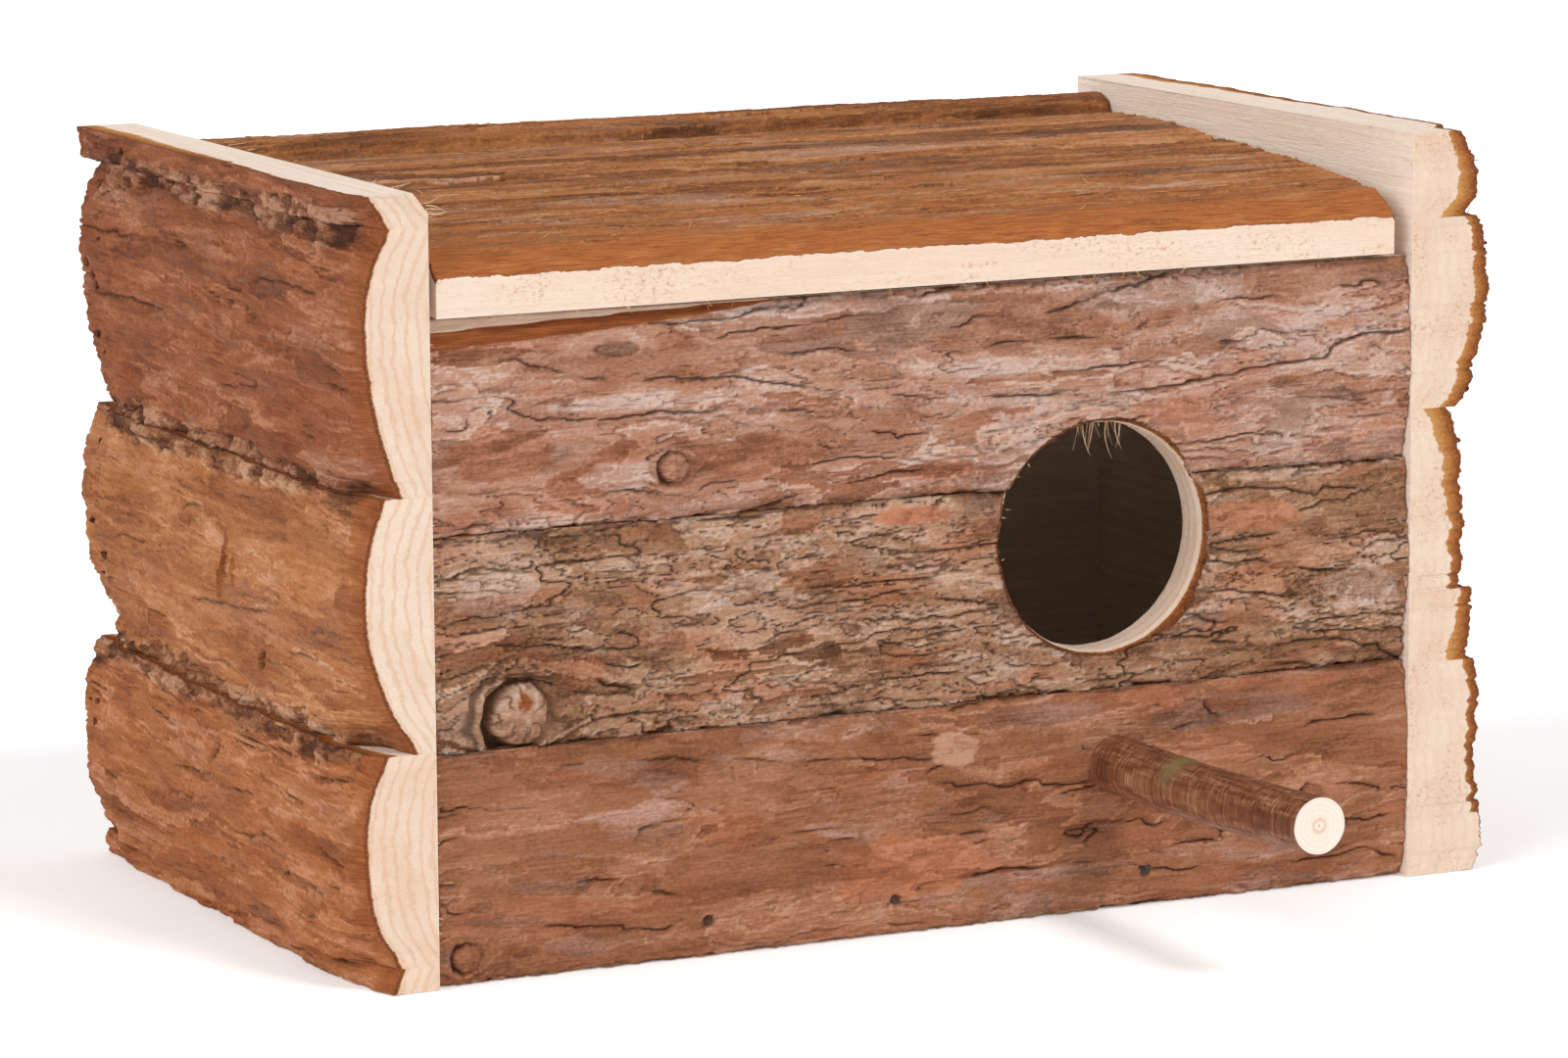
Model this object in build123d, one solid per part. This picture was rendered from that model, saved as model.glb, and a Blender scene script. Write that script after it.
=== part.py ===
"""A small nest box of bark-covered slab wood, in millimetres.

The frame has +X to the right, +Y to the back and +Z up, with the origin at the centre of the base. Two end
panels of edge-glued slabs hold a front wall, a back wall, a floor board and a narrow fixed roof slab at the
back. The lid is two edge-glued slabs that swing up on two hinge nails. A twig perch is screwed on below the
round entry hole.
"""

import math
import os

from build123d import *

# Overall sizes
HEIGHT = 130.0
FRONT_Y = -60.0
BACK_Y = 60.0
LEFT_BACK_Y = 66.0  # the left end panel is cut longer and stands proud at the back
INNER_X = 91.4  # from the middle to the inner face of either end panel
TOP_BEVEL_WIDTH = 2.6  # the left end panel's inner top edge is sawn off
TOP_BEVEL_HEIGHT = 3.4

# Walls and floor
WALL_THICK = 8.2
FRONT_INNER_Y = FRONT_Y + WALL_THICK
BARK_CROWN = 0.5  # how far the middle of a wall slab stands out past the ends of the end panels
BARK_WANE = 1.2  # how far a wall slab's bark falls back at its glued joints
FLOOR_THICK = 9.0
FRONT_TOP = 108.8
BACK_TOP = 116.3
FRONT_JOINTS = (38.2, 73.8)
BACK_JOINTS = (40.0, 79.0)

# Entry hole and perch
HOLE_X, HOLE_Z, HOLE_R = 31.5, 64.5, 19.5
PERCH_X, PERCH_Z = 33.7, 25.4
PERCH_R = 5.0
PERCH_REACH = 67.0
PERCH_RISE = 2.0
PERCH_SOCKET = 5.0
PERCH_SCREW_R = 1.75
PERCH_SCREW_LENGTH = 26.0
PERCH_SCREW_HEAD_R = 3.5
PERCH_SCREW_HEAD_THICK = 2.2
PERCH_SCREW_HEAD_ROUND = 1.2
PERCH_SCREW_SLOT_LENGTH, PERCH_SCREW_SLOT_WIDTH, PERCH_SCREW_SLOT_DEPTH = 4.0, 0.9, 1.0
WASHER_R = 5.5
WASHER_THICK = 1.0

# Lid and fixed back slab of the roof
LID_LEFT, LID_RIGHT = -90.0, 88.0
LID_FRONT_Y = -59.6
LID_SLOPE = 2.5  # degrees, falling to the front
LID_FRONT_LOW = 109.5
LID_SAWN_EDGE = 7.4  # height of the bare sawn front edge
LID_BEVEL = 6.0  # width of the bark's bevel behind that edge
LID_BEVEL_RISE = 3.3
LID_JOINT_Y = 1.0
LID_JOINT_RISE = 12.0  # bark height above the lid's flat underside at the glued joint
LID_CROWN_RISE = 12.6  # at the middle of its back slab
LID_FRONT_CROWN_RISE = 12.0  # at the middle of its front slab
PIVOT_Y, PIVOT_Z = 34.0, 118.5
LID_TAIL_R = 10.0  # the lid's back edge is round about the hinge nails
LID_TAIL_LOW, LID_TAIL_HIGH = -28.0, 40.0  # degrees above level where that round starts and ends
ROOF_SLAB_FRONT_Y = 44.9
ROOF_SLAB_HALF = 91.0
ROOF_SLAB_EDGE_Z = 124.6
ROOF_SLAB_CROWN_Z = 128.2
ROOF_SLAB_BACK_Z = 123.4

# Nails and brads
NAIL_R = 1.25
NAIL_RUNNING_FIT = 0.06
NAIL_HEAD_R = 2.6
NAIL_HEAD_THICK = 1.2
NAIL_HEAD_X = 99.0
NAIL_TIP_X = 76.0
NAIL_BORE_SPARE = 1.0  # how far the lid's bore runs past the nail's tip
BRAD_R = 0.7
BRAD_HEAD_R = 1.1
BRAD_HEAD_THICK = 0.8
BRAD_LENGTH = 25.0
BRAD_SUNK = 1.5
TIGHT_FIT = 0.02
LOOSE_FIT = 0.2
DRILL_BACK = 12.0  # how far a drilled hole runs outwards from a sunk head
CUT_PAST = 5.0  # how far a cutting tool runs past the wood

# End slabs, from the bottom up: name, height of the lower joint, height of the upper joint, and the thickness
# over the bark at evenly spaced heights from one joint to the other
LEFT_SLABS = (
    ("bottom", 0.0, 4.2, (10.4, 8.7)),
    ("lower", 4.2, 39.2, (9.0, 13.8, 14.9, 14.5, 11.0)),
    ("middle", 39.2, 81.0, (5.7, 11.9, 14.4, 14.2, 11.2)),
    ("upper", 81.0, 124.5, (8.1, 11.7, 13.6, 13.5, 9.3)),
    ("top", 124.5, HEIGHT, (9.3, 11.8, 13.8)),
)
RIGHT_SLABS = (
    ("bottom", 0.0, 37.6, (14.2, 15.2, 13.9, 14.7, 14.0)),
    ("lower", 37.6, 50.2, (12.4, 12.9, 13.1)),
    ("middle", 50.2, 82.2, (10.4, 11.1, 11.0, 10.6, 7.6)),
    ("upper", 82.2, 115.2, (11.3, 13.6, 15.9, 15.6, 14.2)),
    ("top", 115.2, HEIGHT, (11.6, 13.3, 10.4)),
)

# Brad places
FLOOR_BRAD_Z = 6.0
FRONT_BRAD_X = (-42.8, -8.1, 40.0)
BACK_BRAD_X = (-50.0, 0.0, 50.0)
SIDE_BRAD_Z = (20.0, 58.0, 95.0)
SIDE_FLOOR_BRAD_Y = (-25.0, 25.0)
SIDE_FLOOR_BRAD_Z = 7.0
ROOF_BRAD_X = (-70.0, 0.0, 70.0)
SIDE_BRAD_HEAD_X = 101.5


def closed_face(points, *curves):
    """A face bounded by a polyline through the points and by the curves that close it."""
    return make_face([*Polyline(*points).edges(), *curves])


def along_x(face, x_low, x_high):
    """A prism on a face drawn as (y, z), from one x to another."""
    return Pos(x_low, 0, 0) * extrude(Plane.YZ * face, x_high - x_low)


def along_y(face, y_low, y_high):
    """A prism on a face drawn as (x, z), from one y to another."""
    return Pos(0, y_high, 0) * extrude(Plane.XZ * face, y_high - y_low)


def rod(radius, start, end):
    """A round rod between two points."""
    start, end = Vector(*start), Vector(*end)
    way = end - start
    standing = (Align.CENTER, Align.CENTER, Align.MIN)
    return Plane(origin=start, z_dir=way) * Cylinder(radius, way.length, align=standing)


def nail(start, way, length, shank_r, head_r, head_thick, extra=0.0):
    """A nail whose head's outer face is at start. extra widens it all round, for cutting its hole."""
    start, way = Vector(*start), Vector(*way)
    shank = rod(shank_r + extra, start, start + way * length)
    head = rod(head_r + extra, start, start + way * (head_thick + extra))
    return shank + head


def brad(start, way, extra=0.0):
    return nail(start, way, BRAD_LENGTH, BRAD_R, BRAD_HEAD_R, BRAD_HEAD_THICK, extra)


def end_slab(side, low, high, thicknesses, back_y):
    """One slab of an end panel: flat inside, with its bark bulging outwards between the glued joints."""
    inner = side * INNER_X
    step = (high - low) / (len(thicknesses) - 1)
    outer = [(side * (INNER_X + thick), low + i * step) for i, thick in enumerate(thicknesses)]
    bark = Spline(*outer) if len(outer) > 2 else Line(*outer)
    inside = [(inner, low), (inner, high)]
    if side < 0 and high == HEIGHT:
        inside[1:] = [(inner, high - TOP_BEVEL_HEIGHT), (inner + side * TOP_BEVEL_WIDTH, high)]
    return along_y(closed_face((outer[0], *inside, outer[-1]), bark), FRONT_Y, back_y)


def wall_slab(side, low, high):
    """One slab of the front or back wall: side is -1 for the front and 1 for the back."""
    inner = side * (-FRONT_Y - WALL_THICK)
    joint = side * (-FRONT_Y - BARK_WANE)
    crown = side * (-FRONT_Y + BARK_CROWN)
    bark = ThreePointArc((joint, low), (crown, (low + high) / 2), (joint, high))
    outline = ((joint, low), (inner, low), (inner, high), (joint, high))
    return along_x(closed_face(outline, bark), -INNER_X, INNER_X)


def wall_slabs(name, side, joints, top):
    levels = (0.0, *joints, top)
    names = ("bottom", "middle", "top")
    return {f"{name}_slab_{part}": wall_slab(side, *levels[i : i + 2]) for i, part in enumerate(names)}


def under_lid(y):
    """Height of the lid's flat underside."""
    return LID_FRONT_LOW + (y - LID_FRONT_Y) * math.tan(math.radians(LID_SLOPE))


def lid_front_slab():
    front, joint = LID_FRONT_Y, LID_JOINT_Y
    bevel_low = (front, LID_FRONT_LOW + LID_SAWN_EDGE)
    bevel_high = (front + LID_BEVEL, bevel_low[1] + LID_BEVEL_RISE)
    joint_top = (joint, under_lid(joint) + LID_JOINT_RISE)
    middle = (bevel_high[0] + joint) / 2
    crown = (middle, under_lid(middle) + LID_FRONT_CROWN_RISE)
    bark = ThreePointArc(bevel_high, crown, joint_top)
    outline = (joint_top, (joint, under_lid(joint)), (front, LID_FRONT_LOW), bevel_low, bevel_high)
    return along_x(closed_face(outline, bark), LID_LEFT, LID_RIGHT)


def tail_point(degrees):
    """A point on the lid's round back edge."""
    turn = math.radians(degrees)
    return PIVOT_Y + LID_TAIL_R * math.cos(turn), PIVOT_Z + LID_TAIL_R * math.sin(turn)


def lid_back_slab():
    """The slab that the hinge nails hold. Its back edge is round about them, so that it can turn."""
    joint = LID_JOINT_Y
    joint_top = (joint, under_lid(joint) + LID_JOINT_RISE)
    tail_low, tail_high = tail_point(LID_TAIL_LOW), tail_point(LID_TAIL_HIGH)
    tail = ThreePointArc(tail_low, tail_point(0), tail_high)
    middle = (joint + tail_high[0]) / 2
    bark = ThreePointArc(joint_top, (middle, under_lid(middle) + LID_CROWN_RISE), tail_high)
    outline = (joint_top, (joint, under_lid(joint)), tail_low)
    slab = along_x(closed_face(outline, tail, bark), LID_LEFT, LID_RIGHT)
    for side in (-1, 1):
        tip = (side * (NAIL_TIP_X - NAIL_BORE_SPARE), PIVOT_Y, PIVOT_Z)
        mouth = (side * INNER_X, PIVOT_Y, PIVOT_Z)
        slab -= rod(NAIL_R + NAIL_RUNNING_FIT, tip, mouth)
    return slab


def roof_back_slab():
    """The fixed slab along the back of the roof, on top of the back wall."""
    front, back = ROOF_SLAB_FRONT_Y, BACK_Y
    crown = ((front + back) / 2, ROOF_SLAB_CROWN_Z)
    bark = ThreePointArc((front, ROOF_SLAB_EDGE_Z), crown, (back, ROOF_SLAB_BACK_Z))
    outline = ((front, ROOF_SLAB_EDGE_Z), (front, BACK_TOP), (back, BACK_TOP), (back, ROOF_SLAB_BACK_Z))
    return along_x(closed_face(outline, bark), -ROOF_SLAB_HALF, ROOF_SLAB_HALF)


def perch():
    """A twig that bends gently upwards from its socket in the front wall."""
    seat = FRONT_Y + PERCH_SOCKET
    start = Vector(PERCH_X, seat, PERCH_Z)
    end = Vector(PERCH_X, FRONT_Y - PERCH_REACH, PERCH_Z + PERCH_RISE)
    path = TangentArc(start, end, tangent=(0, -1, 0))
    twig = sweep(Plane(origin=start, z_dir=(0, -1, 0)) * Circle(PERCH_R), path=path)
    return twig - perch_screw_shank(TIGHT_FIT)


def perch_screw_shank(extra=0.0):
    head_low = FRONT_INNER_Y + WASHER_THICK
    tip = (PERCH_X, head_low - PERCH_SCREW_LENGTH, PERCH_Z)
    return rod(PERCH_SCREW_R + extra, (PERCH_X, head_low, PERCH_Z), tip)


def perch_screw():
    head_low = FRONT_INNER_Y + WASHER_THICK
    head_high = head_low + PERCH_SCREW_HEAD_THICK
    head = rod(PERCH_SCREW_HEAD_R, (PERCH_X, head_low, PERCH_Z), (PERCH_X, head_high, PERCH_Z))
    head = fillet(head.edges().group_by(Axis.Y)[-1], PERCH_SCREW_HEAD_ROUND)
    length, width, depth = PERCH_SCREW_SLOT_LENGTH, PERCH_SCREW_SLOT_WIDTH, 2 * PERCH_SCREW_SLOT_DEPTH
    recess = Pos(PERCH_X, head_high, PERCH_Z) * (Box(length, depth, width) + Box(width, depth, length))
    return perch_screw_shank() + head - recess


def perch_washer():
    start, end = FRONT_INNER_Y, FRONT_INNER_Y + WASHER_THICK
    disc = rod(WASHER_R, (PERCH_X, start, PERCH_Z), (PERCH_X, end, PERCH_Z))
    return disc - perch_screw_shank(LOOSE_FIT)


def hinge_nail(side, extra=0.0, start_out=0.0):
    length = NAIL_HEAD_X - NAIL_TIP_X
    start = (side * (NAIL_HEAD_X + start_out), PIVOT_Y, PIVOT_Z)
    head_thick = NAIL_HEAD_THICK + start_out
    return nail(start, (-side, 0, 0), length + start_out, NAIL_R, NAIL_HEAD_R, head_thick, extra)


def brad_places():
    """Each group of brads as (start, way) pairs."""
    wall_y = BACK_Y - WALL_THICK / 2
    front = [((x, FRONT_Y + BRAD_SUNK, FLOOR_BRAD_Z), (0, 1, 0)) for x in FRONT_BRAD_X]
    back = [((x, BACK_Y - BRAD_SUNK, FLOOR_BRAD_Z), (0, -1, 0)) for x in BACK_BRAD_X]
    roof = [((x, wall_y, ROOF_SLAB_CROWN_Z - BRAD_SUNK), (0, 0, -1)) for x in ROOF_BRAD_X]
    groups = {"front_floor_brads": front, "back_floor_brads": back, "roof_slab_brads": roof}
    for name, side in (("left", -1), ("right", 1)):
        places = [(y, z) for y in (-wall_y, wall_y) for z in SIDE_BRAD_Z]
        places += [(y, SIDE_FLOOR_BRAD_Z) for y in SIDE_FLOOR_BRAD_Y]
        groups[f"{name}_end_brads"] = [((side * SIDE_BRAD_HEAD_X, y, z), (-side, 0, 0)) for y, z in places]
    return groups


def drilled(solid, tools):
    """The solid less every tool that reaches into it."""
    box = solid.bounding_box()
    for tool in tools:
        if touching(box, tool.bounding_box()):
            solid -= tool
    return solid


def touching(one, other):
    """Whether two bounding boxes overlap."""
    low = [max(a, b) for a, b in zip(tuple(one.min), tuple(other.min))]
    high = [min(a, b) for a, b in zip(tuple(one.max), tuple(other.max))]
    return all(a <= b for a, b in zip(low, high))


def brad_tool(start, way):
    """The hole of one brad, open outwards from its sunk head."""
    start, way = Vector(*start), Vector(*way)
    return brad(start, way, TIGHT_FIT) + rod(BRAD_HEAD_R + TIGHT_FIT, start - way * DRILL_BACK, start)


def make_parts():
    wood = {}
    for name, *sizes in LEFT_SLABS:
        wood[f"left_end_slab_{name}"] = end_slab(-1, *sizes, LEFT_BACK_Y)
    for name, *sizes in RIGHT_SLABS:
        wood[f"right_end_slab_{name}"] = end_slab(1, *sizes, BACK_Y)
    wood |= wall_slabs("front", -1, FRONT_JOINTS, FRONT_TOP)
    wood |= wall_slabs("back", 1, BACK_JOINTS, BACK_TOP)
    wood["floor_board"] = Pos(0, 0, FLOOR_THICK / 2) * Box(2 * INNER_X, -2 * FRONT_INNER_Y, FLOOR_THICK)
    wood["roof_back_slab"] = roof_back_slab()

    outside, seat = FRONT_Y - CUT_PAST, FRONT_Y + PERCH_SOCKET
    entry_hole = rod(HOLE_R, (HOLE_X, outside, HOLE_Z), (HOLE_X, FRONT_INNER_Y + CUT_PAST, HOLE_Z))
    socket = rod(PERCH_R + TIGHT_FIT, (PERCH_X, outside, PERCH_Z), (PERCH_X, seat, PERCH_Z))
    tools = [entry_hole, socket, perch_screw_shank(LOOSE_FIT)]
    tools += [hinge_nail(side, TIGHT_FIT, DRILL_BACK) for side in (-1, 1)]
    groups = brad_places()
    for places in groups.values():
        tools += [brad_tool(*place) for place in places]
    parts = {name: drilled(solid, tools) for name, solid in wood.items()}

    parts["lid_front_slab"] = lid_front_slab()
    parts["lid_back_slab"] = lid_back_slab()
    parts["left_hinge_nail"] = hinge_nail(-1)
    parts["right_hinge_nail"] = hinge_nail(1)
    parts["perch"] = perch()
    parts["perch_screw"] = perch_screw()
    parts["perch_washer"] = perch_washer()
    for name, places in groups.items():
        parts[name] = Compound(children=[brad(*place) for place in places])
    return parts


os.makedirs("parts", exist_ok=True)
for node, shape in make_parts().items():
    export_step(shape, f"parts/{node}.step")
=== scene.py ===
"""Looks for the nest box of bark-covered slab wood: every slab gets its own bark, sawn faces and growth
rings.

Shapes are worked out in millimetres and turned into metres when a mesh is made. A slab's grain runs
along y in the end panels and along x elsewhere. In a slab, s is the distance along the grain, t the
distance across the bark, and depth the distance below the bark's surface.
"""

import math
from functools import partial

import bpy
import numpy as np
from mathutils import Matrix, Vector


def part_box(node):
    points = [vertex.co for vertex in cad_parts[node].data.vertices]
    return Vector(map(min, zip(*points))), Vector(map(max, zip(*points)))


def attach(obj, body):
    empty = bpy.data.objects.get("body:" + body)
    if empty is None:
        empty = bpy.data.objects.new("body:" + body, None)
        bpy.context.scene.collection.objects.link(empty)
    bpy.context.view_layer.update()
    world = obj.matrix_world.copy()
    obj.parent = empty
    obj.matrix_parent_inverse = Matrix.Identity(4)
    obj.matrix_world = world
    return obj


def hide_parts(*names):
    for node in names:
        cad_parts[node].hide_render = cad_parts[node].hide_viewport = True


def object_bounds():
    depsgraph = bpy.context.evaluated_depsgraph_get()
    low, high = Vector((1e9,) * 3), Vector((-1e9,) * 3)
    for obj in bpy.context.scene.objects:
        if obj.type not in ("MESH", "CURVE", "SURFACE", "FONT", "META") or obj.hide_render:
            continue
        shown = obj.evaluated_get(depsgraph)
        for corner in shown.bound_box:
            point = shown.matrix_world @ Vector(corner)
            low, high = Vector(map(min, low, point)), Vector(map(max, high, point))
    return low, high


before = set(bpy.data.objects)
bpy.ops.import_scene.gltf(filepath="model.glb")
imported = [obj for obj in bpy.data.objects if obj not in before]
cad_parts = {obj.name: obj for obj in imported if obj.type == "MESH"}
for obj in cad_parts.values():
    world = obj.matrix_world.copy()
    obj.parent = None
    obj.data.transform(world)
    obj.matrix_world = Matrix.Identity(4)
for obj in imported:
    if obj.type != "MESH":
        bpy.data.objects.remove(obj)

MM = 0.001
CAD_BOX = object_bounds()
BOX_LOW, BOX_HIGH = (np.array(corner) / MM for corner in CAD_BOX)


# --------------------------------------------------
# Noise, all of it from a hash, so that every run gives the same bark
# --------------------------------------------------


def hash01(ix, iy, seed):
    """A number from 0 to 1 for each pair of whole numbers."""
    h = (ix.astype(np.int64) * 374761393 + iy.astype(np.int64) * 668265263 + seed * 974634777) & 0xFFFFFFFF
    h = ((h ^ (h >> 13)) * 1274126177) & 0xFFFFFFFF
    h = ((h ^ (h >> 15)) * 2246822519) & 0xFFFFFFFF
    return ((h ^ (h >> 16)) & 0xFFFFFF) / float(0x1000000)


def noise(x, y, seed):
    """Gradient noise, from about -1 to 1."""
    ix, iy = np.floor(x), np.floor(y)
    fx, fy = x - ix, y - iy

    def corner(cx, cy):
        turn = 2 * np.pi * hash01(ix + cx, iy + cy, seed)
        return np.cos(turn) * (fx - cx) + np.sin(turn) * (fy - cy)

    u = fx * fx * fx * (fx * (fx * 6 - 15) + 10)
    v = fy * fy * fy * (fy * (fy * 6 - 15) + 10)
    low = corner(0, 0) * (1 - u) + corner(1, 0) * u
    high = corner(0, 1) * (1 - u) + corner(1, 1) * u
    return 1.5 * (low * (1 - v) + high * v)


def fbm(x, y, seed, octaves=4):
    total, size, weight = 0.0, 1.0, 0.0
    for k in range(octaves):
        total = total + size * noise(x * 2**k + 17.3 * k, y * 2**k - 9.1 * k, seed + 31 * k)
        weight += size
        size *= 0.55
    return total / weight * 1.6


def cells(x, y, seed):
    """Irregular cells: each point's own cell number from 0 to 1, and how far it is from the next cell."""
    ix, iy = np.floor(x), np.floor(y)
    first = np.full(x.shape, 9.0)
    second = np.full(x.shape, 9.0)
    own = np.zeros(x.shape)
    for ox in (-1, 0, 1):
        for oy in (-1, 0, 1):
            cx, cy = ix + ox, iy + oy
            dx = x - cx - 0.08 - 0.84 * hash01(cx, cy, seed)
            dy = y - cy - 0.08 - 0.84 * hash01(cx, cy, seed + 1)
            far = np.hypot(dx, dy)
            closer = far < first
            second = np.where(closer, first, np.minimum(second, far))
            first = np.where(closer, far, first)
            own = np.where(closer, hash01(cx, cy, seed + 2), own)
    return own, second - first


def smooth(low, high, x):
    k = np.clip((x - low) / (high - low), 0, 1)
    return k * k * (3 - 2 * k)


# --------------------------------------------------
# Bark
# --------------------------------------------------

# How each kind of bark looks. length and width: of a flake, in mm; step: from one layer of flakes to the
# next, in mm; layers: how many lie on each other; fibre: strength of the lines along the grain; cracks:
# from 0 to 1; chips: how much the flakes are broken across; edges: how dark the painted shade under the
# flakes' edges is; contrast: between one flake's colour and the next's; crust: width of the crumbly
# crust along the joints, in mm
FLAKY = dict(length=36, width=7.0, step=0.34, layers=2.4, fibre=0.9, cracks=0.5, edges=0.6, chips=0.5,
             contrast=1.0, crust=0.3)
FURROWED = dict(length=27, width=5.6, step=0.40, layers=2.5, fibre=0.9, cracks=0.8, edges=0.8, chips=0.9,
                contrast=1.0, crust=0.4)
CALM = dict(length=42, width=8.5, step=0.24, layers=2.2, fibre=1.0, cracks=0.35, edges=0.4, chips=0.3,
            contrast=0.75, crust=0.3)
SMOOTH = dict(length=36, width=4.6, step=0.26, layers=2.2, fibre=0.9, cracks=0.12, edges=0.32, chips=0.2,
              contrast=0.8, crust=3.0)
FIBROUS = dict(length=110, width=5.0, step=0.16, layers=2.2, fibre=1.5, cracks=0.4, edges=0.45, chips=0.05,
               contrast=1.1, crust=0.3)


def round_knots(s, t, knots):
    """Grain lines part and flow round each knot, given as (s, t, radius)."""
    for ks, kt, radius in knots:
        d2 = ((s - ks) / 1.25) ** 2 + (t - kt) ** 2
        t = t - (t - kt) * (1.15 * radius) ** 2 / np.maximum(d2, (1.15 * radius) ** 2) * 0.9
    return t


def slope(value, s, t):
    """How fast a field changes, per mm."""
    along, across = np.gradient(value, s[:, 0], t[0])
    return np.maximum(np.hypot(along, across), 0.004)


def line_at(value, s, t, width):
    """1 along the lines where a field is zero, falling to 0 over half a width in mm."""
    return smooth(0.5 * width, 0.1 * width, np.abs(value) / slope(value, s, t))


def flakes(x, y, s, t, layers, patch, seed):
    """Layers of flakes: the layers' height, each flake's two random shades, and from 0 to 1 its foot, where
    shade is painted under the next flake's edge, and its upper edge, where a highlight is painted."""
    pile = layers * fbm(x, y, seed, 5)
    level = np.floor(pile)
    steep = slope(pile, s, t)
    # mm to the next flake's edge, and from this one's
    below, above = (level + 1 - pile) / steep, (pile - level) / steep
    names = level + 50, np.floor(patch * 997)
    # foot: painted shade just below the next flake's edge; the last value: painted highlight along this
    # flake's upper edge
    foot = smooth(0.85, 0.40, below) * smooth(0.0, 0.3, below)
    return level + smooth(0.45, 0.0, below), hash01(*names, seed + 1), hash01(*names,
        seed + 2), foot, smooth(0.9, 0.1, above)


def bark_field(s, t, width, look, seed, knots, crusted):
    """The bark's height in mm, and from 0 to 1 its tint, which holds painted highlights along the flakes'
    upper edges, age, cracks, which also hold painted shade in recesses and under the flakes' edges, and
    crust, over a slab's surface.
    """
    grain = round_knots(s, t, knots)
    ws = s + 5.0 * noise(s / 37, grain / 12, seed + 1) + 1.3 * noise(s / 4.2, grain / 1.9, seed + 8)
    wt = grain + 1.7 * fbm(s / 42, grain / 14, seed + 2, 3) + 0.42 * noise(s / 6, grain / 2.6, seed + 3)
    wt = wt + 0.16 * noise(s / 1.7, grain / 0.9, seed + 9)
    length, wide = look["length"], look["width"]
    patch, _ = cells(ws / (0.9 * length), wt / (1.1 * wide), seed + 4)
    patch2, gap2 = cells(ws / (0.24 * length) + 7.7, wt / (0.40 * wide), seed + 14)
    pile, shade, age, foot, lip_highlight = flakes(ws / length, wt / wide, s, t, look["layers"], patch, seed + 5)
    pile2, shade2, age2, foot2, lip_highlight2 = flakes(ws / (0.4 * length), wt / (0.36 * wide), s, t, look["layers"],
                                              patch2, seed + 6)
    fibre = fbm(ws / 15, wt / 0.65, seed + 7, 4)
    swell = fbm(s / 50, t / 15, seed + 10, 2)
    grit = noise(s / 0.9, t / 0.65, seed + 11)
    busy = smooth(-0.5, 0.3, fbm(s / 24, grain / 8, seed + 12, 2) + 0.25)  # elsewhere the bark is calmer

    height = look["step"] * (pile + 0.4 * pile2 * busy) + 1.3 * look["step"] * swell
    height += look["fibre"] * 0.09 * fibre + 0.05 * grit

    open_here = smooth(-0.3, 0.3, fbm(s / 22, grain / 5, seed + 13, 2) + 0.8 * (look["cracks"] - 0.5))
    furrow = noise(ws / (1.3 * length), wt / (0.8 * wide), seed + 15) + 0.12 * noise(s / 5, t / 1.5,
        seed + 16)
    crack = line_at(furrow, s, t, 0.75 + 0.5 * np.clip(swell, 0, 1)) * open_here
    broken = smooth(0.0, 0.35, noise(s / 12, grain / 4.5, seed + 17)) * look["chips"]
    crack = np.maximum(crack, 0.65 * smooth(0.55, 0.10, gap2 / slope(gap2, s, t)) * broken)
    # painted shade under the flakes' edges, also cut in as a shallow groove
    crack = np.maximum(crack, look["edges"] * foot * smooth(0.2, 0.6, shade))
    crack = np.maximum(crack, 0.6 * look["edges"] * foot2 * busy * smooth(0.3, 0.7, shade2))

    edge = np.minimum(t if crusted[0] else 99 + t * 0, width - t if crusted[1] else 99 + t * 0)
    lump, lump_gap = cells(s / 4.4 + 0.3 * noise(s / 2, t / 2, seed + 22),
                           t / 2.6 + 0.3 * noise(s / 2, t / 2, seed + 23), seed + 24)
    crumb = fbm(s / 9, grain / 3.0, seed + 18, 4)
    crust = smooth(2.2 * look["crust"], 0.0, edge + 0.8 * look["crust"] * crumb) + 0.35 * crumb
    crust = smooth(0.3, 0.7, crust + 0.4 * fbm(s / 19, t / 9, seed + 26, 2) - 0.08)
    height += crust * (1.1 * (lump - 0.45) + 0.35 * fbm(s / 1.9, t / 1.3, seed + 19, 3))
    # painted shade in the gaps between the crust's lumps
    crack = np.maximum(crack, 0.8 * crust * smooth(0.16, 0.02, lump_gap) * smooth(0.3, 0.5, lump))
    # every mark in this mask is cut in here, and the material paints the same mask dark as painted shade
    height -= 0.8 * crack

    tint = 0.48 + look["contrast"] * (0.42 * (shade - 0.5) + 0.34 * (shade2 - 0.5) * busy
                                      + 0.16 * (patch2 - 0.5) * broken)
    tint += 0.10 * fibre * min(look["fibre"], 1.2) + 0.16 * fbm(s / 21, t / 8, seed + 20, 3)
    # painted highlight along the flakes' upper edges
    tint += 0.22 * lip_highlight * smooth(0.4, 0.8, shade) + 0.12 * lip_highlight2 * busy + 0.8 * crust * (lump - 0.5)
    age = smooth(0.45, 1.05, 0.7 * age + 0.35 * age2 + 0.35 * fbm(s / 32, t / 9, seed + 21, 3))
    rust = smooth(0.05, 0.75, fbm(s / 26, t / 7, seed + 25, 3)
                  + 0.6 * (hash01(np.floor(patch * 997), patch * 0, seed) - 0.5))
    return dict(height=height, tint=np.clip(tint, 0, 1), crack=crack, crust=crust, age=age, rust=0.6 * rust)


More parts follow.
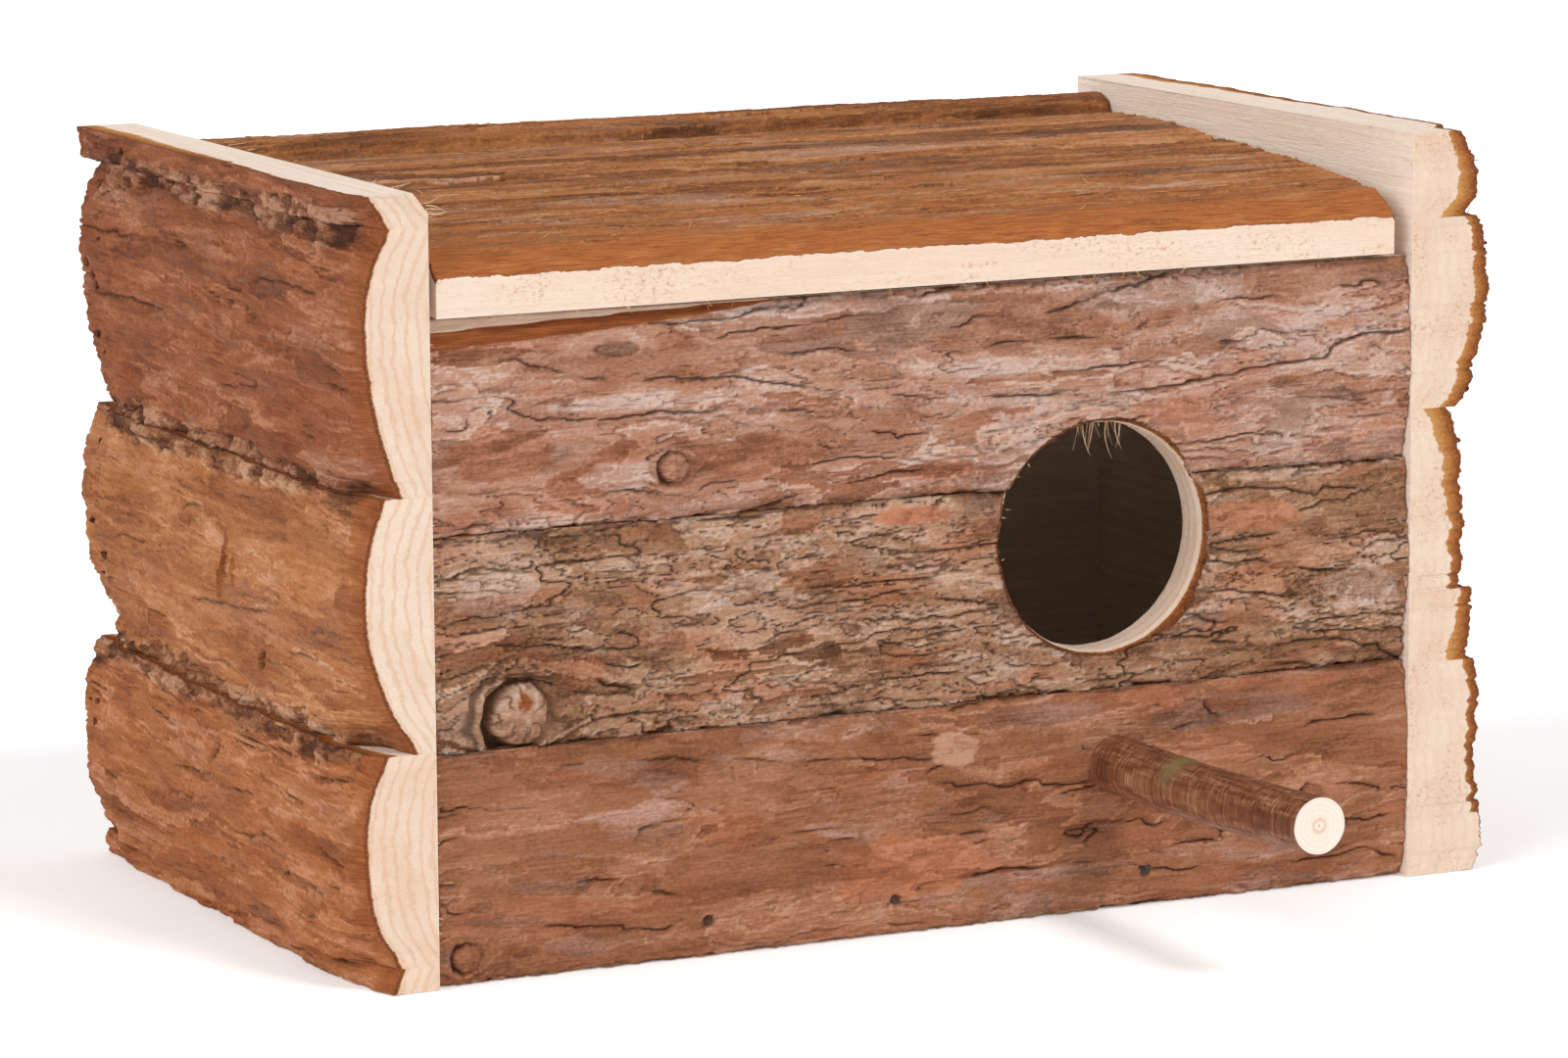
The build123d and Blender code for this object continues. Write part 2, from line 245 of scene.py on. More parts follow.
def paint(field, s, t, spots, seed):
    """Larger marks that the bark has: (s, t, length, width, tint added, age or, below 0, rust, calm
    from 0 to 1)."""
    for n, (ss, st, length, width, tint, age, calm) in enumerate(spots):
        far = np.hypot((s - ss) / (0.5 * length), (t - st) / (0.5 * width)) + 0.30 * fbm(s / 7, t / 2.8,
            seed + 70 + n, 4)
        inside = smooth(1.05, 0.88, far)
        field["tint"] = np.clip(field["tint"] + tint * inside, 0, 1)
        field["age"] = np.clip(field["age"] * (1 - inside * (age < 0)) + max(age, 0) * inside, 0, 1)
        field["rust"] = np.maximum(field["rust"], max(-age, 0) * inside)
        for key in ("crack", "crust"):
            field[key] = field[key] * (1 - calm * inside)
        field["height"] = field["height"] * (1 - 0.6 * calm * inside) + 0.12 * np.sign(tint) * inside


def knot_marks(field, s, t, knots, seed):
    """Each knot is a cracked dome in a ring groove, deepest on its left and painted dark as shade, with
    bark swelling round it; the dome has a painted highlight, lighter towards its top.
    """
    for n, (ks, kt, radius) in enumerate(knots):
        ds, dt = s - ks, t - kt
        far = np.hypot(ds, dt) * (1 + 0.13 * noise(ds / (0.6 * radius) + 5 * n, dt / (0.6 * radius),
                                                   seed + 40 + n)) / radius
        turn = np.arctan2(dt, ds)
        big = smooth(2.8, 4.5, radius)  # a small knot is only a swirl
        inside = smooth(1.02, 0.88, far)
        left = 0.45 + 0.55 * smooth(-0.3, 0.8, -ds / np.maximum(np.hypot(ds, dt), 0.1))
        ring = smooth(0.88, 1.02, far) * smooth(1.15 + 0.3 * left, 1.02 + 0.1 * left, far)
        outer = smooth(1.55, 1.68, far) * smooth(1.95, 1.75, far) * smooth(-0.1, 0.7,
            -ds / np.maximum(np.hypot(ds, dt), 0.1))
        spokes = 3.5 * turn + 1.6 * noise(far * 2.5, turn * 1.5, seed + 44)
        rays = line_at(np.cos(spokes), s, t, 0.9) * smooth(0.2, 0.5, far) * (0.4 + 0.6 * big)
        dome = 0.34 * radius * np.sqrt(np.clip(1 - far**2, 0, 1)) - 0.16 * radius + 0.3 * fbm(ds / 1.6,
            dt / 1.6, seed + 46, 3)
        swell = smooth(3.6, 1.4, far) * (1 - smooth(1.5, 0.9, far))
        field["height"] = field["height"] * (1 - inside) + (dome
                                                            - 0.5 * rays) * inside + 0.12 * radius * swell
        field["height"] -= ring * left * min(0.42 * radius, 2.3) + 0.8 * outer * big
        # painted shade in the ring, the rays and the outer groove, over the grooves cut above
        field["crack"] = np.maximum(field["crack"] * (1 - inside), ring * left)
        field["crack"] = np.maximum(field["crack"], np.maximum(0.75 * rays * inside, 0.8 * outer * big))
        field["crust"] = np.maximum(field["crust"] * (1 - inside),
                                    0.7 * swell * big * smooth(-0.2, 0.4, fbm(ds / 3, dt / 2, seed + 47)))
        field["age"] = field["age"] * (1 - inside) + 0.6 * inside * big
        field["rust"] = field["rust"] * (1 - inside)
        # painted highlight: the dome is lighter towards its top
        light = 0.45 + 0.3 * smooth(-0.6, 0.8, dt / radius) * big + 0.25 * fbm(ds / 1.5, dt / 1.5,
            seed + 45, 3)
        field["tint"] = field["tint"] * (1 - inside) + inside * light
        glow = smooth(0.9, 0.2, np.hypot(ds - 0.05 * radius, 0.9 * (dt - 0.45 * radius)) / (0.55 * radius))
        field["fresh"] = np.maximum(field["fresh"],
                                    glow * inside * big * (0.75 + 0.3 * noise(ds, dt, seed + 48)))
    return field


def slit_marks(field, s, t, slits, seed):
    """Slits in the bark, painted dark inside as shade: (s, t, length, width, angle in degrees from the
    grain, how golden the bark round it is)."""
    for n, (ss, st, length, width, angle, gold) in enumerate(slits):
        turn = math.radians(angle)
        along = (s - ss) * math.cos(turn) + (t - st) * math.sin(turn)
        off = (t - st) * math.cos(turn) - (s - ss) * math.sin(turn) + 0.4 * noise(along / 1.5, t * 0,
            seed + 80 + n)
        far = np.hypot(along / (0.5 * length), off / (0.5 * width))
        inside = smooth(1.15, 0.7, far)
        field["height"] -= 1.3 * inside - 0.35 * smooth(2.6, 1.3, far) * (1 - inside)
        field["crack"] = np.maximum(field["crack"], inside)
        field["fresh"] = np.maximum(field["fresh"], gold * smooth(3.2, 1.2, far) * (1 - inside))
    return field


# --------------------------------------------------
# Slab meshes
# --------------------------------------------------

SKIRT_STEPS = np.array([0.0, 0.03, 0.07, 0.12, 0.18, 0.25, 0.33, 0.45, 0.6, 0.8, 0.985, 1.0])


def points_of(node):
    co = np.empty(len(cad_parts[node].data.vertices) * 3)
    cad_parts[node].data.vertices.foreach_get("co", co)
    return co.reshape(-1, 3) / MM


def end_face(node, grain):
    """The points round the end face of a CAD slab, as (a, z), where a is x or y, whichever the grain
    doesn't run along."""
    co = points_of(node)
    along = co[:, 1 if grain == "y" else 0]
    face = co[along < along.min() + 0.01][:, [0, 2] if grain == "y" else [1, 2]]
    return np.unique(np.round(face, 3), axis=0)


def evenly(line, step):
    """A polyline with points one step apart, and its unit normals to the left of its direction."""
    along = np.concatenate([[0], np.cumsum(np.hypot(*np.diff(line, axis=0).T))])
    n = max(3, int(round(along[-1] / step)) + 1)
    at = np.linspace(0, along[-1], n)
    fine = np.stack([np.interp(at, along, line[:, k]) for k in (0, 1)], axis=1)
    way = np.gradient(fine, axis=0)
    for _ in range(6):
        way[1:-1] = (way[:-2] + 2 * way[1:-1] + way[2:]) / 4
    way /= np.hypot(*way.T)[:, None]
    return fine, np.stack([-way[:, 1], way[:, 0]], axis=1), at


def slab_mesh(name, grain, line, normal, inner_line, stations, field, rinds, edge_drop, raggedness, limits,
              cut_shade, seed):
    """A closed slab. line: the bark's outline; inner_line: the inner face's corners, in the order of
    line; rinds: thickness of the cut bark on the face at the low end, at the line's end, at the high
    end and at its start."""
    m, n = len(stations), len(line)
    height = field["height"] - edge_drop
    step = np.hypot(*(line[1] - line[0]))
    # 0 at the joints, 1 away from them
    inside = smooth(0, 2.0, np.minimum(np.arange(n), np.arange(n)[::-1]) * step)[None]
    fades = (1.0, inside) if grain == "y" or abs(line[-1, 1] - line[0, 1]) > abs(line[-1, 0]
        - line[0, 0]) else (inside, 1.0)
    a = line[None, :, 0] + height * normal[None, :,
                                           0] * fades[0] + field["push"] * np.sign(normal[:, 0].mean())
    z = line[None, :, 1] + height * normal[None, :, 1] * fades[1]
    z = np.clip(z, *limits)
    s = np.repeat(stations[:, None], n, axis=1)
    near = np.minimum(np.arange(m), np.arange(m)[::-1])[:, None]
    shift = raggedness * (0.5 + 0.5 * fbm(line[None, :, 1] / 3.0 + line[None, :, 0] / 3.0, s * 0 + seed,
                                          seed + 60, 3))
    sign = np.where(np.arange(m) < m / 2, 1, -1)[:, None]
    s = s + sign * shift * np.clip(1 - near / 3, 0, 1)

    low = [(0, j) for j in range(n)]
    far = [(i, n - 1) for i in range(1, m)]
    high = [(m - 1, j) for j in range(n - 2, -1, -1)]
    back = [(i, 0) for i in range(m - 2, 0, -1)]
    loop = np.array(low + far + high + back)
    side = np.concatenate([np.full(len(low), 0), np.full(len(far), 1), np.full(len(high), 2),
                           np.full(len(back), 3)])
    li, lj = loop.T
    share = (np.arange(n) / (n - 1))[lj]
    inner = np.asarray(inner_line, float)
    at = np.concatenate([[0], np.cumsum(np.hypot(*np.diff(inner, axis=0).T))])
    inner = np.stack([np.interp(share * at[-1], at, inner[:, k]) for k in (0, 1)], axis=1)
    top_a, top_z = a[li, lj], z[li, lj]
    flat_s = stations[li]
    grid = [np.stack([a.ravel(), z.ravel(), s.ravel()], axis=1)]
    depths = [np.zeros(m * n)]
    skins = [np.ones(m * n)]
    intos = [3.0 * field["peeled"].ravel() - 1.0]
    thick = np.hypot(inner[:, 0] - top_a, inner[:, 1] - top_z)
    rind = np.zeros(len(loop))
    for which, thickness in enumerate(rinds):
        place = top_z if which in (0, 2) else flat_s
        rind = np.where(side == which, thickness(place) if callable(thickness) else thickness, rind)
    saw = 0.07 * fbm(top_z / 1.1 + top_a / 1.1, flat_s / 1.1, seed + 61, 3)
    for k in SKIRT_STEPS[1:]:
        ring = np.stack([top_a + (inner[:, 0] - top_a) * k, top_z + (inner[:, 1] - top_z) * k, flat_s],
                        axis=1)
        ring[:, 2] += np.where((side == 0) | (side == 2), 1, 0) * saw * np.sin(9.1 * k) * (k < 1)
        grid.append(ring)
        depths.append(thick * k)
        skins.append(np.zeros(len(loop)))
        intos.append(thick * k - rind)
    co = np.concatenate(grid)
    xyz = co[:, [0, 2, 1]] if grain == "y" else co[:, [2, 0, 1]]
    xyz = np.clip(xyz, BOX_LOW, BOX_HIGH)

    quads = []
    index = np.arange(m * n).reshape(m, n)
    quads.append(np.stack([index[:-1, :-1], index[1:, :-1], index[1:, 1:], index[:-1, 1:]],
                          axis=-1).reshape(-1, 4))
    ring_of = [index[li, lj]] + [m * n + k * len(loop) + np.arange(len(loop))
                                 for k in range(len(SKIRT_STEPS) - 1)]
    for upper, lower in zip(ring_of[:-1], ring_of[1:]):
        quads.append(np.stack([upper, np.roll(upper, -1), np.roll(lower, -1), lower], axis=-1))
    last = ring_of[-1]
    low_side, high_side = last[:n], last[n + m - 2:2 * n + m - 2][::-1]
    quads.append(np.stack([low_side[1:-2], low_side[2:-1], high_side[2:-1], high_side[1:-2]], axis=-1))
    quads = np.concatenate(quads)
    first_strip = np.concatenate([low_side[:2], high_side[1::-1], last[2 * n + m - 2:]])
    last_strip = np.concatenate([low_side[-2:], last[n:n + m - 2], high_side[:-3:-1]])

    counts = np.concatenate([np.full(len(quads), 4), [len(first_strip), len(last_strip)]]).astype(np.int32)
    corners = np.concatenate([quads.ravel(), first_strip, last_strip]).astype(np.int32)
    mesh = bpy.data.meshes.new(name)
    mesh.vertices.add(len(xyz))
    mesh.vertices.foreach_set("co", (xyz * MM).astype(np.float32).ravel())
    mesh.loops.add(len(corners))
    mesh.loops.foreach_set("vertex_index", corners)
    mesh.polygons.add(len(counts))
    mesh.polygons.foreach_set("loop_start", (np.cumsum(counts) - counts).astype(np.int32))
    mesh.update(calc_edges=True)
    mesh.validate()
    sawn = np.arange(len(counts)) >= (m - 1) * (n - 1)
    mesh.attributes.new("sharp_face", "BOOLEAN", "FACE").data.foreach_set("value", sawn)

    def whole(values):
        return np.concatenate([values.ravel()] + [values[li, lj]] * (len(SKIRT_STEPS) - 1))

    tt = np.repeat(np.arange(n)[None] * 1.0, m, axis=0)
    across = whole(tt) / (n - 1) * np.hypot(*np.diff(line, axis=0).T).sum()
    for key in ("tint", "crack", "crust", "fresh", "peeled", "age", "rust"):
        set_values(mesh, key, whole(field[key]))
    set_values(mesh, "tone", np.full(len(xyz), hash01(np.array([seed]), np.array([3]), 1)[0]))
    long_cut = np.tile(np.where((side == 1) | (side == 3), cut_shade, 0.0), len(SKIRT_STEPS) - 2)
    set_values(mesh, "long_cut", np.concatenate([np.zeros(m * n), long_cut, np.ones(len(loop))]))
    set_values(mesh, "skin", np.concatenate(skins))
    set_values(mesh, "into", np.concatenate(intos))
    set_vectors(mesh, "grain", np.stack([co[:, 2], across, np.concatenate(depths)], axis=1))
    return mesh


def set_values(mesh, name, values):
    layer = mesh.attributes.get(name) or mesh.attributes.new(name, "FLOAT", "POINT")
    layer.data.foreach_set("value", np.asarray(values, np.float32))


def set_vectors(mesh, name, values):
    layer = mesh.attributes.get(name) or mesh.attributes.new(name, "FLOAT_VECTOR", "POINT")
    layer.data.foreach_set("vector", np.asarray(values, np.float32).ravel())


def facing_out(mesh):
    """Turns the faces outwards where the order of the outline made them face inwards."""
    mesh.calc_loop_triangles()
    co = np.empty(len(mesh.vertices) * 3)
    mesh.vertices.foreach_get("co", co)
    co = co.reshape(-1, 3)
    tri = np.empty(len(mesh.loop_triangles) * 3, np.int32)
    mesh.loop_triangles.foreach_get("vertices", tri)
    a, b, c = (co[tri.reshape(-1, 3)[:, k]] - co.mean(0) for k in range(3))
    if np.einsum("ij,ij->i", a, np.cross(b, c)).sum() < 0:
        mesh.flip_normals()
    return mesh


def add_piece(name, mesh, material, body, nodes=()):
    piece = bpy.data.objects.new(name, mesh)
    bpy.context.scene.collection.objects.link(piece)
    mesh.materials.append(material)
    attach(piece, body)
    if nodes:
        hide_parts(*nodes)
    return piece


# --------------------------------------------------
# Materials
# --------------------------------------------------


def colour(r, g, b):
    """A display colour from 0 to 255, as linear light."""
    def linear(v):
        v /= 255
        return v / 12.92 if v <= 0.04045 else ((v + 0.055) / 1.055) ** 2.4

    return (linear(r), linear(g), linear(b), 1.0)


class Nodes:
    """A short way to write a material's nodes."""

    def __init__(self, name):
        self.material = bpy.data.materials.new(name)
        self.material.use_nodes = True
        self.tree = self.material.node_tree
        self.tree.nodes.clear()
        self.surface = self.tree.nodes.new("ShaderNodeBsdfPrincipled")
        out = self.tree.nodes.new("ShaderNodeOutputMaterial")
        self.tree.links.new(self.surface.outputs[0], out.inputs[0])

    def link(self, value, socket):
        if hasattr(value, "default_value") or hasattr(value, "is_linked"):
            self.tree.links.new(value, socket)
        else:
            socket.default_value = value

    def attribute(self, name, output="Fac"):
        node = self.tree.nodes.new("ShaderNodeAttribute")
        node.attribute_name = name
        return node.outputs[output]

    def math(self, operation, a, b=0.0, clamp=False):
        node = self.tree.nodes.new("ShaderNodeMath")
        node.operation, node.use_clamp = operation, clamp
        self.link(a, node.inputs[0])
        self.link(b, node.inputs[1])
        return node.outputs[0]

    def times(self, a, b):
        return self.math("MULTIPLY", a, b)

    def plus(self, a, b, clamp=False):
        return self.math("ADD", a, b, clamp)

    def minus(self, a, b):
        return self.math("SUBTRACT", a, b)

    def scaled(self, vector, scale):
        node = self.tree.nodes.new("ShaderNodeVectorMath")
        node.operation = "MULTIPLY"
        self.link(vector, node.inputs[0])
        node.inputs[1].default_value = scale
        return node.outputs[0]

    def noise(self, vector, scale=1.0, detail=3.0, roughness=0.6, distortion=0.0):
        node = self.tree.nodes.new("ShaderNodeTexNoise")
        self.link(vector, node.inputs["Vector"])
        node.inputs["Scale"].default_value = scale
        node.inputs["Detail"].default_value = detail
        node.inputs["Roughness"].default_value = roughness
        node.inputs["Distortion"].default_value = distortion
        return node.outputs["Fac"]

    def ramp(self, value, stops):
        node = self.tree.nodes.new("ShaderNodeValToRGB")
        points = node.color_ramp.elements
        while len(points) < len(stops):
            points.new(0.5)
        for point, (at, shade) in zip(points, stops):
            point.position = at
            point.color = shade
        self.link(value, node.inputs[0])
        return node.outputs[0]

    def step(self, value, low, high):
        """0 below low, 1 above high and smooth between; low may be the higher."""
        node = self.tree.nodes.new("ShaderNodeMapRange")
        node.interpolation_type = "SMOOTHSTEP"
        first, second = (0.0, 1.0) if low < high else (1.0, 0.0)
        for socket, number in zip(node.inputs[1:5], (min(low, high), max(low, high), first, second)):
            socket.default_value = number
        self.link(value, node.inputs[0])
        return node.outputs[0]

    def mix(self, share, a, b):
        node = self.tree.nodes.new("ShaderNodeMix")
        node.data_type = "RGBA"
        self.link(share, node.inputs[0])
        self.link(a, node.inputs[6])
        self.link(b, node.inputs[7])
        return node.outputs[2]

    def bump(self, height, strength, distance, normal=None):
        node = self.tree.nodes.new("ShaderNodeBump")
        node.inputs["Strength"].default_value = strength
        node.inputs["Distance"].default_value = distance
        self.link(height, node.inputs["Height"])
        if normal is not None:
            self.link(normal, node.inputs["Normal"])
        return node.outputs[0]

    def finish(self, base, roughness, normal=None):
        self.link(base, self.surface.inputs["Base Color"])
        self.link(roughness, self.surface.inputs["Roughness"])
        self.surface.inputs["Specular IOR Level"].default_value = 0.25
        if normal is not None:
            self.link(normal, self.surface.inputs["Normal"])
        return self.material


WOOD_PALE = colour(244, 220, 200)
WOOD_MIDDLE = colour(238, 207, 181)
WOOD_LATE = colour(226, 181, 144)
RIND_DARK = colour(128, 70, 32)
RIND_LIGHT = colour(172, 104, 50)
RIND_GOLD = colour(204, 148, 84)
# painted shade: the colour of the cracks and recesses
CRACK_SHADE = colour(62, 40, 26)
CRUST = ((0.15, colour(58, 38, 26)), (0.38, colour(104, 68, 46)), (0.6, colour(138, 98, 72)),
         (0.9, colour(182, 148, 122)))


def sawn_wood(k, grain, long_cut):
    """Cream wood: growth rings at even depths, streaks along the grain and fuzzy pores."""
    _, _, depth = separate(k, grain)
    wander = k.noise(k.scaled(grain, (0.02, 0.16, 0.35)), 1.0, 2.0)
    ring = k.plus(k.times(depth, 2.9), k.times(wander, 9.0))
    wave = k.math("SINE", ring)
    wave = k.step(wave, 0.0, 1.0)
    fuzz = k.noise(k.scaled(grain, (2.2, 2.6, 4.0)), 1.0, 3.0, 0.7)
    patch = k.noise(k.scaled(grain, (0.03, 0.10, 0.12)), 1.0, 3.0)
    patch = k.plus(patch, k.times(k.minus(k.attribute("tone"), 0.5), 0.2))
    base = k.ramp(patch, ((0.3, WOOD_MIDDLE), (0.62, WOOD_PALE)))
    late = k.times(wave, k.step(fuzz, 0.25, 0.7))
    base = k.mix(k.times(k.times(late, 0.8), k.attribute("rings")), base, WOOD_LATE)
    grains = k.step(k.noise(k.scaled(grain, (0.9, 1.5, 1.5)), 1.0, 3.0, 0.75), 0.50, 0.66)
    rough = k.step(k.noise(k.scaled(grain, (0.05, 0.09, 0.17)), 1.0, 2.0), 0.45, 0.62)
    coarse = k.minus(1.15, k.attribute("rings"))
    base = k.mix(k.times(k.times(grains, rough), coarse), base, colour(208, 156, 118))
    long = k.ramp(k.noise(k.scaled(grain, (0.03, 1.1, 1.1)), 1.0, 3.0),
                  ((0.3, colour(*long_cut[0])), (0.7, colour(*long_cut[1]))))
    base = k.mix(k.attribute("long_cut"), base, long)
    pores = k.step(k.noise(k.scaled(grain, (0.25, 3.2, 3.2)), 1.0, 2.0, 0.7), 0.60, 0.74)
    return k.mix(k.times(pores, 0.28), base, colour(214, 160, 118)), fuzz


def separate(k, vector):
    node = k.tree.nodes.new("ShaderNodeSeparateXYZ")
    k.link(vector, node.inputs[0])
    return node.outputs


def bark_material(name, palette, age=0.45, rust=((126, 68, 40), (190, 116, 80)),
                  long_cut=((240, 216, 196), (251, 234, 219)),
                  fresh_palette=((112, 56, 24), (143, 78, 38), (170, 102, 54))):
    """Bark with the palette's colours from its dark plates to its light ones, over orange inner bark
    and cream wood."""
    k = Nodes(name)
    grain = k.attribute("grain", "Vector")
    fibre = k.noise(k.scaled(grain, (0.16, 2.6, 2.6)), 1.0, 4.0, 0.65, 0.4)
    speck = k.noise(k.scaled(grain, (1.3, 1.9, 1.9)), 1.0, 4.0, 0.7)
    cloud = k.noise(k.scaled(grain, (0.05, 0.11, 0.1)), 1.0, 3.0)
    tint = k.plus(k.attribute("tint"), k.times(k.minus(fibre, 0.5), 0.5))
    tint = k.plus(tint, k.times(k.minus(speck, 0.5), 0.8))
    tint = k.plus(tint, k.times(k.minus(cloud, 0.5), 0.3), clamp=True)
    places = (0.08, 0.33, 0.52, 0.72, 0.93)
    bark = k.ramp(tint, [(at, colour(*shade)) for at, shade in zip(places, palette)])
    red = k.ramp(tint, [(at, colour(*shade)) for at, shade in zip((0.2, 0.8), rust)])
    bark = k.mix(k.times(k.attribute("rust"), 0.85), bark, red)
    grey = k.ramp(tint, ((0.1, colour(112, 88, 78)), (0.5, colour(166, 138, 124)),
                         (0.9, colour(208, 186, 178))))
    aged = k.times(k.step(k.plus(k.attribute("age"), k.times(k.minus(speck, 0.5), 0.5)), 0.3, 1.0), age)
    bark = k.mix(aged, bark, grey)
    crust = k.ramp(k.plus(tint, k.times(k.minus(speck, 0.5), 0.8)), CRUST)
    bark = k.mix(k.times(k.attribute("crust"), 0.5), bark, crust)
    # painted shade in the cracks, the recesses and under the flakes' edges
    bark = k.mix(k.times(k.step(k.attribute("crack"), 0.15, 1.0), 0.8), bark, CRACK_SHADE)
    inner = k.ramp(fibre, [(at, colour(*shade)) for at, shade in zip((0.3, 0.52, 0.75), fresh_palette)])
    fresh = k.plus(k.attribute("fresh"), k.times(k.minus(speck, 0.5), 0.5))
    bark = k.mix(k.step(fresh, 0.35, 0.75), bark, inner)

    wood, fuzz = sawn_wood(k, grain, long_cut)
    into = k.plus(k.attribute("into"), k.times(k.minus(speck, 0.5), 0.5))
    _, _, depth = separate(k, grain)
    age_of_rind = k.plus(k.times(depth, 0.15), k.times(speck, 0.8))
    rind = k.ramp(age_of_rind, ((0.30, colour(92, 50, 26)), (0.48, RIND_DARK), (0.66, RIND_LIGHT),
                                (0.95, RIND_GOLD)))
    cut = k.mix(k.step(into, -0.15, 0.2), rind, wood)
    skin = k.plus(k.attribute("skin"), k.times(k.minus(speck, 0.5), 0.3))
    skin = k.minus(skin, k.attribute("peeled"))
    skin = k.step(skin, 0.4, 0.6)
    base = k.mix(skin, cut, bark)
    height = k.plus(fibre, k.times(speck, 0.8))
    normal = k.bump(height, 0.8, 0.0004)
    normal = k.bump(k.noise(k.scaled(grain, (0.9, 5.5, 5.5)), 1.0, 2.0), 0.3, 0.00015, normal)
    return k.finish(base, k.minus(0.92, k.times(fuzz, 0.12)), normal)


BARKS = {
    "front_top": bark_material("bark_front_top", (
        (116, 76, 54), (160, 108, 83), (179, 129, 104), (194, 150, 128), (214, 182, 166)), 0.5),
    "front_middle": bark_material("bark_front_middle", (
        (92, 60, 38), (142, 100, 72), (166, 122, 92), (184, 144, 116), (206, 172, 150)), 0.4),
    "front_bottom": bark_material("bark_front_bottom", (
        (100, 60, 36), (136, 84, 56), (154, 100, 70), (170, 116, 86), (192, 142, 114)), 0.3),
    "end_red": bark_material("bark_end_red", (
        (82, 40, 22), (120, 66, 39), (140, 80, 49), (154, 94, 61), (178, 120, 88)), 0.12,
        ((112, 54, 26), (156, 88, 46))),
    "end_tan": bark_material("bark_end_tan", (
        (100, 54, 26), (144, 86, 50), (165, 104, 63), (180, 120, 78), (198, 144, 106)), 0.12,
        ((132, 74, 34), (180, 112, 58))),
    "end_low": bark_material("bark_end_low", (
        (92, 48, 24), (138, 79, 44), (160, 96, 56), (176, 112, 70), (194, 136, 100)), 0.12,
        ((126, 64, 28), (172, 98, 48))),
    "lid": bark_material("bark_lid", (
        (92, 54, 28), (132, 80, 46), (158, 100, 58), (176, 116, 68), (190, 136, 96)), 0.35,
        ((110, 66, 34), (176, 110, 60)),
        ((240, 220, 204), (252, 238, 226)), ((138, 72, 32), (174, 102, 52), (196, 128, 70))),
    "back": bark_material("bark_back", ((104, 64, 40), (150, 98, 70), (172, 120, 94), (190, 144, 120),
                                        (206, 172, 156))),
}


# --------------------------------------------------
# The slabs
# --------------------------------------------------

STEP = 0.42


def plain_field(s, t, width, look, seed, knots, spots, crusted, slits):
    field = bark_field(s, t, width, look, seed, knots, crusted)
    paint(field, s, t, spots, seed)
    for key in ("fresh", "peeled", "push"):
        field[key] = np.zeros(s.shape)
    return slit_marks(knot_marks(field, s, t, knots, seed), s, t, slits, seed)


def make_slab(node, grain, outline, inner_line, look, material, seed, body, rinds, shape=None, knots=(),
              step=1.0,
              raggedness=0.35, cut_shade=1.0, spots=(), groove=0.8, crusted=(1, 1), slits=(),
              rings=1.0):
    """One slab. shape(s, t, a, z, field) may change the field and returns how far the bark drops at
    each point, in mm."""
    line, normal, across = evenly(outline, STEP * step)
    middle = (np.asarray(inner_line[0]) + np.asarray(inner_line[-1])) / 2
    if ((line.mean(0) - middle) * normal.mean(0)).sum() < 0:
        normal = -normal
    low, high = (np.array(corner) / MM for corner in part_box(node))
    axis = 1 if grain == "y" else 0
    count = int((high[axis] - low[axis]) / (STEP * step)) + 1
    stations = np.linspace(low[axis], high[axis], count)
    s, t = np.meshgrid(stations, across, indexing="ij")
    field = plain_field(s, t, across[-1], look, seed, knots, spots, crusted, slits)
    field["height"] -= np.percentile(field["height"], 97)  # the CAD outline is the bark's outermost face
    edge = np.minimum(t, across[-1] - t)
    field["height"] = np.clip(field["height"], -3.2, 0.25)
    seam = edge + 1.0 * fbm(s / 9, t / 3, seed + 30, 3)
    drop = groove * smooth(2.6, 0.0, seam)
    # at the joints the gap between the slabs is painted dark as shade, over the groove that drop cuts
    field["crack"] = np.maximum(field["crack"], 0.8 * groove * smooth(0.7, 0.0, seam))
    if shape is not None:
        drop = drop + shape(s, t, line[None, :, 0], line[None, :, 1], field)
    mesh = slab_mesh(node, grain, line, normal, inner_line, stations, field, rinds, drop, raggedness,
                     (low[2], high[2]), cut_shade, seed)
    set_values(mesh, "rings", np.full(len(mesh.vertices), rings))
    piece = add_piece(f"{node}_wood", facing_out(mesh), material, body, [node])
    return piece


def sorted_by(points, k):
    return points[np.argsort(points[:, k])]


INNER_X = float(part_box("left_end_slab_upper")[1].x) / -MM
FRONT_Y = float(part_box("left_end_slab_upper")[0].y) / MM
BACK_Y = -FRONT_Y
THINNEST = 4.0  # no end slab's bark comes nearer than this to the panel's inner face
END_BARKS = {"bottom": "end_low", "lower": "end_low", "middle": "end_tan", "upper": "end_red",
             "top": "end_red"}


def fill_joints(s, z, a, field, reach, back_notch):
    """Behind the sawn front end, crumbly bark fills the notches between the slabs. reach: its full
    thickness in mm."""
    thick = np.abs(a) - INNER_X
    behind = s - FRONT_Y + 1.6 * noise(z / 4, s / 9, 7)
    to_back = BACK_Y - s + 1.2 * noise(z / 3, s / 5, 8)
    amount = smooth(5.0, 12.0, behind) * (1 - back_notch * smooth(5.0, 0.5, to_back))
    amount = amount * (0.72 + 0.3 * fbm(s / 14, z / 6, 9, 3))
    field["push"] = amount * np.maximum(reach - thick, 0)


def left_end_shape(s, t, a, z, field, reach, back_notch):
    """Near the front edge the bark is pared down to the wood, which shows its orange inner layer."""
    back = s - FRONT_Y + 1.3 * noise(z / 7, s * 0, 5) + 0.5 * noise(z / 1.7, s * 0, 6)
    field["fresh"] = np.maximum(field["fresh"],
                                smooth(11.0, 0.5, back + 3.0 * fbm(s / 3.5, z / 2.4, 11, 3)) * 0.62)
    calm = smooth(8.0, 3.0, back)
    field["height"] = field["height"] * (1 - 0.75 * calm)
    field["crack"] = field["crack"] * (1 - calm)
    field["crust"] = field["crust"] * (1 - calm)
    fill_joints(s, z, a, field, reach, back_notch)
    return 1.9 * smooth(7.0, 0.0, s - FRONT_Y) ** 1.5


